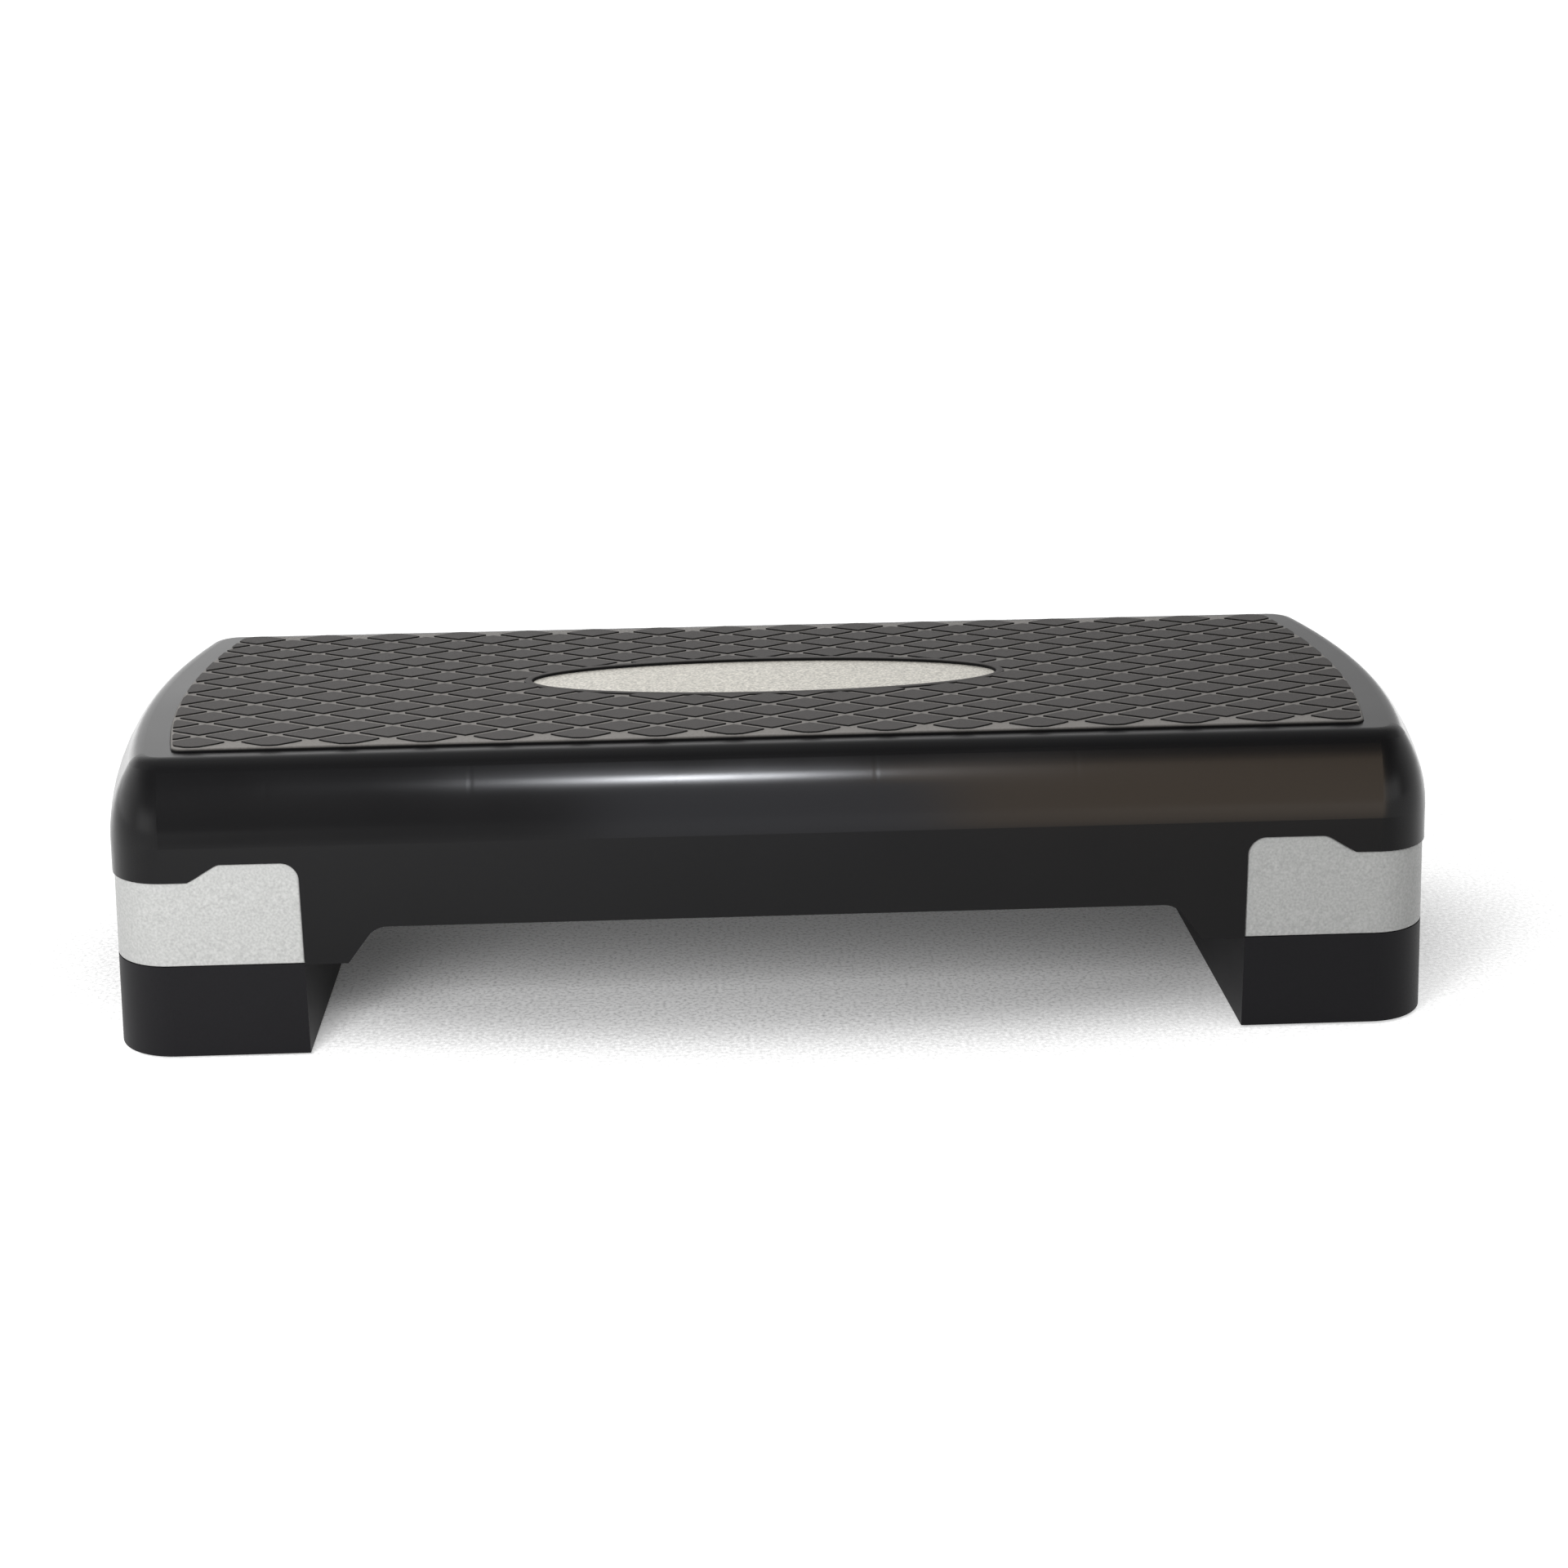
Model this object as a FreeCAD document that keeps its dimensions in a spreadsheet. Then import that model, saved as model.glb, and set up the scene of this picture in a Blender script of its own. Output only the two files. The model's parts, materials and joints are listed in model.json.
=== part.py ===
import FreeCAD, Part
import math
import os
import re
import Sketcher

# Aerobic step platform with two heights: a moulded deck with a tread mat, covered legs and plug-in risers.
# Millimetres. The origin is on the floor below the middle, X runs along the length, the front is at -Y, Z is up.

SIZES = (
    ("half_length", 340, "floor outline, middle of the platform to the end"),
    ("half_depth", 138, "floor outline, middle of the platform to the front"),
    ("corner_radius", 32, "rounding of the four corners in plan"),
    ("end_radius", 544, "radius of the bowed ends in plan"),
    ("draft_angle", 2.5, "lean of the outer walls, wider at the floor"),
    ("rim_height", 148.6, "floor to the flat rim round the mat"),
    ("riser_height", 48, "floor to the joint between riser and leg"),
    ("leg_length", 108.8, "end of the platform to the inner end of a leg"),
    ("leg_inner", "=half_length - leg_length", "inner end of risers and bands"),
    ("band_height", 51.6, "height of the bands on the front and back"),
    ("band_shoulder", "=riser_height + band_height", "top edge of the bands on the front and back"),
    ("band_drop", 8.8, "how much lower the bands are round the ends"),
    ("lip_height", "=band_shoulder - band_drop", "top edge of the bands round the ends"),
    ("panel_length", 38.8, "inner end of a band to the drop of its top edge"),
    ("step_inner", "=leg_inner + panel_length", "where the top edge of a band starts to drop"),
    ("step_run", 14.5, "length of that drop"),
    ("step_outer", "=step_inner + step_run", "where that drop ends"),
    ("arch_rise", 18.3, "joint height to the lower edge of the skirt"),
    ("arch_height", "=riser_height + arch_rise", "lower edge of the skirt between the legs"),
    ("foot_reach", 21.4, "how far a leg of the deck reaches inwards beside its riser"),
    ("arch_foot", "=leg_inner - foot_reach", "arch at the joint height"),
    ("arch_lean", 13.8, "how far the sides of the arch lean in"),
    ("arch_top", "=arch_foot - arch_lean", "arch at the skirt's edge, before rounding"),
    ("arch_round", 12, "rounding at the top of the arch"),
    ("skirt_proud", 1, "how far the deck stands out beyond the bands"),
    ("wall", 3, "moulded wall"),
    ("top_plate", 4.4, "deck top at the rim"),
    ("shoulder_drop", 21.5, "rim to the turn of the wall"),
    ("shoulder_height", "=rim_height - shoulder_drop", "height where the wall turns in"),
    ("shoulder_slope", 33, "lean of the wall above the turn"),
    ("shoulder_round", 70, "radius of the turn"),
    ("edge_round", 9, "radius of the top edge"),
    ("rib", 2.2, "thickness of the ribs"),
    ("rib_drop", 7.5, "ribs between the legs below the turn of the wall"),
    ("rib_foot", "=shoulder_height - rib_drop", "lower edge of the ribs between the legs"),
    ("leg_rib_rise", 8, "lower edge of the ribs inside the legs above the joint"),
    ("leg_rib_foot", "=riser_height + leg_rib_rise", "lower edge of the ribs inside the legs"),
    ("cross_rib_pitch", 98, "spacing of the ribs across the deck"),
    ("rib_margin", 78, "outer ribs along the deck to the front and back"),
    ("long_rib_pitch", "=half_depth - rib_margin", "spacing of the ribs along the deck"),
    ("band_thick", 2.6, "thickness of a band"),
    ("band_gap", 0.2, "gap round a band"),
    ("band_corner", 9, "rounding of a band's upper inner corner"),
    ("seam_gap", 0.2, "gap between a band and the riser below it"),
    ("clip_width", 16, "clip on the back of a band"),
    ("clip_height", 6, "height of a clip"),
    ("clip_rise", 23, "clips above the joint"),
    ("clip_level", "=riser_height + clip_rise", "height of the clips above the floor"),
    ("clip_margin", 24.8, "inner end of a band to its first clip"),
    ("clip_place", "=leg_inner + clip_margin", "place of the clips on the front and back"),
    ("clip_spread", 62, "place of the clips on the end, from the middle"),
    ("mat_end_margin", 35.2, "end of the platform to the end of the mat"),
    ("mat_length", "=half_length - mat_end_margin", "middle of the mat to its end"),
    ("mat_side_margin", 30.4, "front of the platform to the front of the mat"),
    ("mat_depth", "=half_depth - mat_side_margin", "middle of the mat to its front"),
    ("mat_corner", 6, "corner rounding of the mat"),
    ("mat_bow", 74, "radius of the bowed ends, platform less mat"),
    ("mat_end_radius", "=end_radius - mat_bow", "radius of the mat's bowed ends"),
    ("mat_seat", 1.4, "depth of the seat for the mat"),
    ("mat_gap", 0.3, "gap round the mat in its seat"),
    ("mat_base", 2.9, "mat below the tread"),
    ("tread_height", 1, "height of the tread pads"),
    ("tread_border", 1.2, "plain strip round the tread"),
    ("tread_long", 37.7, "spacing of the diamonds along the mat"),
    ("tread_cross", 22.06, "spacing of the diamonds across the mat"),
    ("channel", 3.4, "width of the channels between the diamonds"),
    ("badge_length", 123, "half the badge along the mat"),
    ("badge_depth", 35, "half the badge across the mat"),
    ("badge_thick", 1.2, "thickness of the badge"),
    ("badge_sunk", 1.4, "badge below the top of the ring round it"),
    ("badge_gap", 0.5, "gap round the badge"),
    ("badge_ring", 4, "smooth ring of the mat round the badge"),
    ("pad_radius", 9, "rubber pads"),
    ("pad_proud", 1.5, "how far the pads stand out below the moulding"),
    ("pad_seat", 3.5, "depth of the seat of a pad"),
    ("pad_gap", 0.2, "gap round a pad in its seat"),
    ("pad_room", 0.5, "room round and below a deck pad in the riser"),
    ("pad_margin", 18.8, "inner end of a leg to its first pads"),
    ("pad_inner", "=leg_inner + pad_margin", "pads nearer the middle"),
    ("pad_pitch", 46, "spacing of the pads along the platform"),
    ("pad_outer", "=pad_inner + pad_pitch", "pads nearer the end"),
    ("pad_side_margin", 46, "pads to the front and back of the platform"),
    ("pad_spread", "=half_depth - pad_side_margin", "middle of the platform to the pads, across"),
    ("plug_length", 36, "plug on a riser, along the platform"),
    ("plug_width", 14, "plug across the platform"),
    ("plug_height", 22, "length of a plug"),
    ("plug_lead", 1, "draft of a plug towards its tip, in degrees"),
    ("plug_gap", 0.4, "gap between plug and socket"),
    ("plug_place", "=pad_inner + pad_pitch / 2", "middle of the platform to the plugs"),
    ("post_wall", 2.6, "wall of plugs, sockets and pad cups"),
)

doc = FreeCAD.newDocument("step_platform")
sheet = doc.addObject("Spreadsheet::Sheet", "Dims")
for row, (alias, amount, note) in enumerate(SIZES, 1):
    sheet.set("A%d" % row, note)
    sheet.set("B%d" % row, str(amount))
    sheet.setAlias("B%d" % row, alias)
doc.recompute()

ALIAS = re.compile(r"\b(" + "|".join(alias for alias, amount, note in SIZES) + r")\b")
Limit = Sketcher.Constraint
Vector = FreeCAD.Vector
UP = Vector(0, 0, 1)

# Sizes worked out from the sheet, as text that the sketches and features are bound to.
TAPER = "tan(draft_angle)"
SEAM_INSET = "(riser_height * %s)" % TAPER
SHOULDER_INSET = "(shoulder_height * %s - skirt_proud)" % TAPER
CREST_INSET = "(%s + (rim_height - shoulder_height) * tan(shoulder_slope))" % SHOULDER_INSET
PLATE_FLOOR = "(rim_height - top_plate)"
CHANNEL_FLOOR = "(rim_height - mat_seat + mat_base)"
TREAD_TOP = "(%s + tread_height)" % CHANNEL_FLOOR
BADGE_FLOOR = "(%s - badge_sunk - badge_thick)" % TREAD_TOP
LINER_INSET = "(band_thick + band_gap)"
SIDES = ((1, "right"), (-1, "left"))
PADS = (
    ("front_inner", "pad_inner", "-pad_spread"),
    ("front_outer", "pad_outer", "-pad_spread"),
    ("back_inner", "pad_inner", "pad_spread"),
    ("back_outer", "pad_outer", "pad_spread"),
)
PLANES = {
    "XY_Plane": (FreeCAD.Rotation(), "z", ""),
    "XZ_Plane": (FreeCAD.Rotation(Vector(1, 0, 0), 90), "y", "-"),
    "YZ_Plane": (FreeCAD.Rotation(Vector(1, 1, 1), 120), "x", ""),
}
pieces = {}
owners = {}


def named(expression):
    """The expression with each size written as a cell of the sheet."""
    return ALIAS.sub(r"Dims.\1", str(expression))


def number(expression):
    """What an expression comes to with the sizes in the sheet."""
    return float(sheet.evalExpression(named(expression)))


def bind(thing, field, expression):
    thing.setExpression(field, named(expression))


def limit(sketch, expression, kind, *places):
    """A dimension of a sketch, bound to an expression."""
    index = sketch.addConstraint(Limit(kind, *places, number(expression)))
    bind(sketch, "Constraints[%d]" % index, expression)


def new_piece(label):
    """A piece of the object: what is joined together for it, and what is then cut out of it."""
    pieces[label] = {"joined": [], "cut": []}
    return label


def new_sketch(piece, name, plane="XY_Plane", offset="0"):
    """An empty sketch for a piece on one of the main planes, moved along its normal by an expression."""
    sketch = doc.addObject("Sketcher::SketchObject", name)
    turn, axis, sign = PLANES[plane]
    sketch.Placement = FreeCAD.Placement(Vector(), turn)
    bind(sketch, "Placement.Base." + axis, "%s(%s)" % (sign, offset))
    owners[sketch.Name] = piece
    return sketch


def polygon(sketch, corners):
    """A closed outline through (x, y) or (x, y, rounding) corners, all of them expressions."""
    spots = [Vector(number(corner[0]), number(corner[1]), 0) for corner in corners]
    rounds = [number(corner[2]) if len(corner) > 2 else 0 for corner in corners]
    count = len(corners)
    starts, ends, turns = list(spots), list(spots), {}
    for k in range(count):
        if rounds[k]:
            before = (spots[k - 1] - spots[k]).normalize()
            after = (spots[(k + 1) % count] - spots[k]).normalize()
            half = before.getAngle(after) / 2
            ends[k] = spots[k] + before * (rounds[k] / math.tan(half))
            starts[k] = spots[k] + after * (rounds[k] / math.tan(half))
            hub = spots[k] + (before + after).normalize() * (rounds[k] / math.sin(half))
            bearings = [math.atan2(spot.y - hub.y, spot.x - hub.x) for spot in (ends[k], starts[k])]
            clockwise = before.cross(after).z > 0
            turns[k] = (arc(hub.x, hub.y, rounds[k], *(reversed(bearings) if clockwise else bearings)), clockwise)
    first = sketch.GeometryCount
    for k in range(count):
        sketch.addGeometry(Part.LineSegment(starts[k], ends[(k + 1) % count]), False)
    for k, corner in enumerate(corners):
        coming, going = first + (k - 1) % count, first + k
        if k in turns:
            turn = sketch.addGeometry(turns[k][0], False)
            entry, leave = (2, 1) if turns[k][1] else (1, 2)
            sketch.addConstraint(Limit("Tangent", coming, 2, turn, entry))
            sketch.addConstraint(Limit("Tangent", going, 1, turn, leave))
            limit(sketch, corner[2], "Radius", turn)
            point = sketch.addGeometry(Part.Point(spots[k]), True)
            sketch.addConstraint(Limit("PointOnObject", point, 1, coming))
            sketch.addConstraint(Limit("PointOnObject", point, 1, going))
            place = (point, 1)
        else:
            sketch.addConstraint(Limit("Coincident", coming, 2, going, 1))
            place = (going, 1)
        limit(sketch, corner[0], "DistanceX", -1, 1, *place)
        limit(sketch, corner[1], "DistanceY", -1, 1, *place)
    return sketch


def circle(sketch, x, y, radius):
    index = sketch.addGeometry(Part.Circle(Vector(number(x), number(y), 0), UP, number(radius)), False)
    limit(sketch, radius, "Radius", index)
    limit(sketch, x, "DistanceX", -1, 1, index, 3)
    limit(sketch, y, "DistanceY", -1, 1, index, 3)


def ellipse(sketch, length, depth):
    """An ellipse round the origin, its long axis along X."""
    shape = Part.Ellipse(Vector(number(length), 0, 0), Vector(0, number(depth), 0), Vector(0, 0, 0))
    index = sketch.addGeometry(shape, False)
    sketch.exposeInternalGeometry(index)
    sketch.addConstraint(Limit("Coincident", index, 3, -1, 1))
    sketch.addConstraint(Limit("Horizontal", index + 1))
    limit(sketch, "2 * (%s)" % length, "Distance", index + 1)
    limit(sketch, "2 * (%s)" % depth, "Distance", index + 2)


def arc(x, y, radius, start, end):
    return Part.ArcOfCircle(Part.Circle(Vector(x, y, 0), UP, radius), start, end)


def oval(sketch, length, depth, corner, bow):
    """The plan outline: straight front and back, rounded corners, bowed ends. It starts in the middle of the front."""
    l, d, r, b = number(length), number(depth), number(corner), number(bow)
    hub = l - b + math.sqrt((b - r) ** 2 - (d - r) ** 2)
    swing = math.atan2(d - r, hub - l + b)
    quarter, half = math.pi / 2, math.pi
    sketch.addGeometry([
        Part.LineSegment(Vector(0, -d, 0), Vector(hub, -d, 0)),
        arc(hub, r - d, r, -quarter, -swing),
        arc(l - b, 0, b, -swing, swing),
        arc(hub, d - r, r, swing, quarter),
        Part.LineSegment(Vector(hub, d, 0), Vector(-hub, d, 0)),
        arc(-hub, d - r, r, quarter, half - swing),
        arc(b - l, 0, b, half - swing, half + swing),
        arc(-hub, r - d, r, half + swing, half + quarter),
        Part.LineSegment(Vector(-hub, -d, 0), Vector(0, -d, 0)),
    ], False)
    for k in range(8):
        sketch.addConstraint(Limit("Tangent", k, 2, k + 1, 1))
    sketch.addConstraint(Limit("Coincident", 8, 2, 0, 1))
    for k in (0, 4, 8):
        sketch.addConstraint(Limit("Horizontal", k))
    sketch.addConstraint(Limit("PointOnObject", 0, 1, -2))
    limit(sketch, depth, "DistanceY", 0, 1, -1, 1)
    limit(sketch, depth, "DistanceY", -1, 1, 4, 1)
    for k, sign in ((2, 1), (6, -1)):
        sketch.addConstraint(Limit("PointOnObject", k, 3, -1))
        limit(sketch, "%d * ((%s) - (%s))" % (sign, length, bow), "DistanceX", -1, 1, k, 3)
        limit(sketch, bow, "Radius", k)
    for k in (1, 3, 5, 7):
        limit(sketch, corner, "Radius", k)
    return sketch


def end_outline(sketch, side, inset, start, closed=False):
    """One end of the floor outline, front round to back, from the cross plane at start; closed by a line if asked."""
    l, d = number("half_length - (%s)" % inset), number("half_depth - (%s)" % inset)
    r, b = number("corner_radius - (%s)" % inset), number("end_radius - (%s)" % inset)
    hub = l - b + math.sqrt((b - r) ** 2 - (d - r) ** 2)
    swing = math.atan2(d - r, hub - l + b)
    x, quarter, half = number(start), math.pi / 2, math.pi
    if side > 0:
        turns = [arc(hub, r - d, r, -quarter, -swing), arc(l - b, 0, b, -swing, swing), arc(hub, d - r, r, swing, quarter)]
    else:
        turns = [arc(-hub, r - d, r, half + swing, half + quarter), arc(b - l, 0, b, half - swing, half + swing),
                 arc(-hub, d - r, r, quarter, half - swing)]
    sketch.addGeometry([
        Part.LineSegment(Vector(side * x, -d, 0), Vector(side * hub, -d, 0)),
        turns[0],
        turns[1],
        turns[2],
        Part.LineSegment(Vector(side * hub, d, 0), Vector(side * x, d, 0)),
    ], False)
    entry, leave = (1, 2) if side > 0 else (2, 1)
    sketch.addConstraint(Limit("Tangent", 0, 2, 1, entry))
    sketch.addConstraint(Limit("Tangent", 1, leave, 2, entry))
    sketch.addConstraint(Limit("Tangent", 2, leave, 3, entry))
    sketch.addConstraint(Limit("Tangent", 3, leave, 4, 1))
    sketch.addConstraint(Limit("Horizontal", 0))
    sketch.addConstraint(Limit("Horizontal", 4))
    limit(sketch, "half_depth - (%s)" % inset, "DistanceY", 0, 1, -1, 1)
    limit(sketch, "half_depth - (%s)" % inset, "DistanceY", -1, 1, 4, 2)
    limit(sketch, "%d * (%s)" % (side, start), "DistanceX", -1, 1, 0, 1)
    limit(sketch, "%d * (%s)" % (side, start), "DistanceX", -1, 1, 4, 2)
    sketch.addConstraint(Limit("PointOnObject", 2, 3, -1))
    limit(sketch, "%d * (half_length - end_radius)" % side, "DistanceX", -1, 1, 2, 3)
    limit(sketch, "end_radius - (%s)" % inset, "Radius", 2)
    limit(sketch, "corner_radius - (%s)" % inset, "Radius", 1)
    limit(sketch, "corner_radius - (%s)" % inset, "Radius", 3)
    if closed:
        sketch.addGeometry(Part.LineSegment(Vector(side * x, d, 0), Vector(side * x, -d, 0)), False)
        sketch.addConstraint(Limit("Coincident", 4, 2, 5, 1))
        sketch.addConstraint(Limit("Coincident", 5, 2, 0, 1))
    return sketch


def end_place(y, inset):
    """How far from the middle the bowed end lies at a given y, moved in by an inset."""
    return "(half_length - end_radius + sqrt((end_radius - (%s))^2 - (%s)^2))" % (inset, y)


def extrusion(sketch, length, both_ways=False, down=False):
    """A solid from the sketch along its normal, against it, or to both sides of it."""
    feature = doc.addObject("Part::Extrusion", sketch.Name + "_solid")
    feature.Base = sketch
    feature.DirMode = "Normal"
    feature.Solid = True
    feature.Symmetric = both_ways
    feature.Reversed = down
    bind(feature, "LengthFwd", length)
    return feature


def pad(sketch, length, both_ways=False):
    solid = extrusion(sketch, length, both_ways)
    pieces[owners[sketch.Name]]["joined"].append(solid)
    return solid


def pocket(sketch, depth, upwards=True, both_ways=False):
    pieces[owners[sketch.Name]]["cut"].append(extrusion(sketch, depth, both_ways, not upwards))


def run(use, profile, path):
    """A profile carried along every edge of a path, to be joined or cut."""
    doc.recompute([profile, path])
    feature = doc.addObject("Part::Sweep", profile.Name + "_run")
    feature.Sections = [profile]
    feature.Spine = (path, ["Edge%d" % (k + 1) for k in range(len(path.Shape.Edges))])
    feature.Solid = True
    pieces[owners[profile.Name]][use].append(feature)


def block(sketch, x, y, half_x, half_y):
    """A rectangle round (x, y)."""
    return polygon(sketch, (
        ("(%s) - (%s)" % (x, half_x), "(%s) - (%s)" % (y, half_y)),
        ("(%s) + (%s)" % (x, half_x), "(%s) - (%s)" % (y, half_y)),
        ("(%s) + (%s)" % (x, half_x), "(%s) + (%s)" % (y, half_y)),
        ("(%s) - (%s)" % (x, half_x), "(%s) + (%s)" % (y, half_y)),
    ))


def joined(name, solids):
    if len(solids) == 1:
        return solids[0]
    feature = doc.addObject("Part::MultiFuse", name)
    feature.Shapes = solids
    return feature


def assemble(piece):
    """The finished solid of a piece, labelled with its name."""
    solid = joined(piece + "_joined", pieces[piece]["joined"])
    if pieces[piece]["cut"]:
        whole = solid
        solid = doc.addObject("Part::Cut", piece + "_cut")
        solid.Base = whole
        solid.Tool = joined(piece + "_tools", pieces[piece]["cut"])
    solid.Label = piece
    return solid


def front(inset):
    """The y of a wall profile at the front."""
    return "-(half_depth - (%s))" % inset


def slope_point(height, extra):
    """A point of the wall above the shoulder, in (inset, height), moved in by extra."""
    return "(%s + (%s - shoulder_height) * tan(shoulder_slope) + %s)" % (SHOULDER_INSET, height, extra)


# The deck: walls carried round the plan outline, a top plate, ribs below, hollow legs, seats for bands and mat.
deck = new_piece("deck")
deck_path = oval(new_sketch(deck, "deck_path"), "half_length", "half_depth", "corner_radius", "end_radius")
skirt_foot = "(%s - skirt_proud)" % SEAM_INSET
lean = "(wall / cos(draft_angle))"
inner_turn = "wall / (1 + cos(shoulder_slope - draft_angle))"
inner_shoulder = (
    "(%s + %s * (cos(draft_angle) + cos(shoulder_slope)))" % (SHOULDER_INSET, inner_turn),
    "(shoulder_height - %s * (sin(draft_angle) + sin(shoulder_slope)))" % inner_turn,
)
inner_crest = "(%s + (%s - %s) * tan(shoulder_slope))" % (inner_shoulder[0], PLATE_FLOOR, inner_shoulder[1])
plate_reach = "(%s + edge_round + 3)" % CREST_INSET
deck_wall = polygon(new_sketch(deck, "deck_wall", "YZ_Plane"), (
    (front(skirt_foot), "riser_height"),
    (front("%s + %s" % (skirt_foot, lean)), "riser_height"),
    (front(inner_shoulder[0]), inner_shoulder[1], "shoulder_round - wall"),
    (front(inner_crest), PLATE_FLOOR),
    (front(plate_reach), PLATE_FLOOR),
    (front(plate_reach), "rim_height"),
    (front(CREST_INSET), "rim_height", "edge_round"),
    (front(SHOULDER_INSET), "shoulder_height", "shoulder_round"),
))
run("joined", deck_wall, deck_path)
plate_inset = "(%s + edge_round)" % CREST_INSET
deck_plate = oval(new_sketch(deck, "deck_plate", offset=PLATE_FLOOR), "half_length - " + plate_inset,
                  "half_depth - " + plate_inset, "corner_radius - " + plate_inset, "end_radius - " + plate_inset)
pad(deck_plate, "top_plate")
arch = polygon(new_sketch(deck, "arch", "XZ_Plane"), (
    ("-arch_foot", "riser_height - wall"),
    ("arch_foot", "riser_height - wall"),
    ("arch_foot", "riser_height"),
    ("arch_top", "arch_height", "arch_round"),
    ("-arch_top", "arch_height", "arch_round"),
    ("-arch_foot", "riser_height"),
))
pocket(arch, "4 * half_depth", both_ways=True)


def cross_rib(name, place, foot, thick):
    """A web across the deck, its ends inside the front and back walls."""
    low = "((%s) * %s - skirt_proud + wall / 2)" % (foot, TAPER)
    turn = "(%s + wall / 2)" % SHOULDER_INSET
    top = slope_point(PLATE_FLOOR, "wall / 2")
    rising = ((low, foot), (turn, "shoulder_height", "shoulder_round - wall / 2"), (top, PLATE_FLOOR),
              (top, PLATE_FLOOR + " + top_plate / 4"))
    corners = [("-(half_depth - %s)" % inset, *rest) for inset, *rest in rising]
    corners += [("half_depth - %s" % inset, *rest) for inset, *rest in reversed(rising)]
    pad(polygon(new_sketch(deck, name, "YZ_Plane", place), corners), thick, both_ways=True)


for count, place in enumerate(("-1.5", "-0.5", "0.5", "1.5"), 1):
    cross_rib("cross_rib_%d" % count, "%s * cross_rib_pitch" % place, "rib_foot", "rib")
for side, word in SIDES:
    cross_rib("leg_wall_" + word, "%d * (leg_inner + wall / 2 + band_gap)" % side, "riser_height", "wall")
    for spot in ("inner", "outer"):
        cross_rib("leg_rib_%s_%s" % (spot, word), "%d * pad_%s" % (side, spot), "leg_rib_foot", "rib")
for count in range(-1, 2):
    rib_y = "(%d * long_rib_pitch)" % count
    low = end_place(rib_y, "leg_rib_foot * %s - skirt_proud + wall / 2" % TAPER)
    turn = end_place(rib_y, "%s + wall / 2" % SHOULDER_INSET)
    top = end_place(rib_y, slope_point(PLATE_FLOOR, "wall / 2"))
    rising = (("(leg_inner + wall)", "rib_foot"), ("(leg_inner + wall)", "leg_rib_foot"), (low, "leg_rib_foot"),
              (turn, "shoulder_height", "shoulder_round - wall / 2"), (top, PLATE_FLOOR),
              (top, PLATE_FLOOR + " + top_plate / 4"))
    corners = list(rising) + [("-" + x, *rest) for x, *rest in reversed(rising)]
    rib_sketch = new_sketch(deck, "long_rib_%d" % (count + 2), "XZ_Plane", "-1 * " + rib_y)
    pad(polygon(rib_sketch, corners), "rib", both_ways=True)

sockets = new_sketch(deck, "sockets", offset="riser_height")
socket_bores = new_sketch(deck, "socket_bores", offset="riser_height")
cups = new_sketch(deck, "cups", offset="riser_height")
pad_seats = new_sketch(deck, "pad_seats", offset="riser_height")
for side, word in SIDES:
    for y in ("-long_rib_pitch", "long_rib_pitch"):
        spread = "plug_%s / 2 + plug_gap"
        block(socket_bores, "%d * plug_place" % side, y, spread % "length", spread % "width")
        spread += " + post_wall"
        block(sockets, "%d * plug_place" % side, y, spread % "length", spread % "width")
    for name, x, y in PADS:
        circle(cups, "%d * %s" % (side, x), y, "pad_radius + pad_gap + post_wall")
        circle(pad_seats, "%d * %s" % (side, x), y, "pad_radius + pad_gap")
pad(sockets, "plug_height + 2 * post_wall")
pad(cups, "leg_rib_rise + post_wall")

# Each leg has an inner wall behind its band, and a seat for the band cut into the outside.
band_inner = "(%s * (band_shoulder + band_gap) + %s)" % (TAPER, LINER_INSET)
for side, word in SIDES:
    liner_path = end_outline(new_sketch(deck, "liner_path_" + word), side, "0", "leg_inner + band_gap")
    liner_top = "(lip_height + band_gap + wall)"
    liner = polygon(new_sketch(deck, "liner_" + word, "YZ_Plane", "%d * (leg_inner + band_gap)" % side), (
        (front("riser_height * %s" % TAPER), "riser_height"),
        (front("riser_height * %s + %s + wall" % (TAPER, LINER_INSET)), "riser_height"),
        (front("%s * %s + %s + wall" % (liner_top, TAPER, LINER_INSET)), liner_top),
        (front("%s * %s" % (liner_top, TAPER)), liner_top),
    ))
    run("joined", liner, liner_path)
    for sign, face in ((-1, "front"), (1, "back")):
        low, high = "half_depth - %s - wall" % band_inner, "half_depth - %s" % SHOULDER_INSET
        backing = new_sketch(deck, "panel_backing_%s_%s" % (face, word), offset="lip_height")
        polygon(backing, (
            ("%d * (leg_inner + band_gap)" % side, "%d * (%s)" % (sign, low)),
            ("%d * (step_outer + wall)" % side, "%d * (%s)" % (sign, low)),
            ("%d * (step_outer + wall)" % side, "%d * (%s - wall / 2)" % (sign, high)),
            ("%d * (leg_inner + band_gap)" % side, "%d * (%s - wall / 2)" % (sign, high)),
        ))
        pad(backing, "band_shoulder + band_gap + wall - lip_height")
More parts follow.
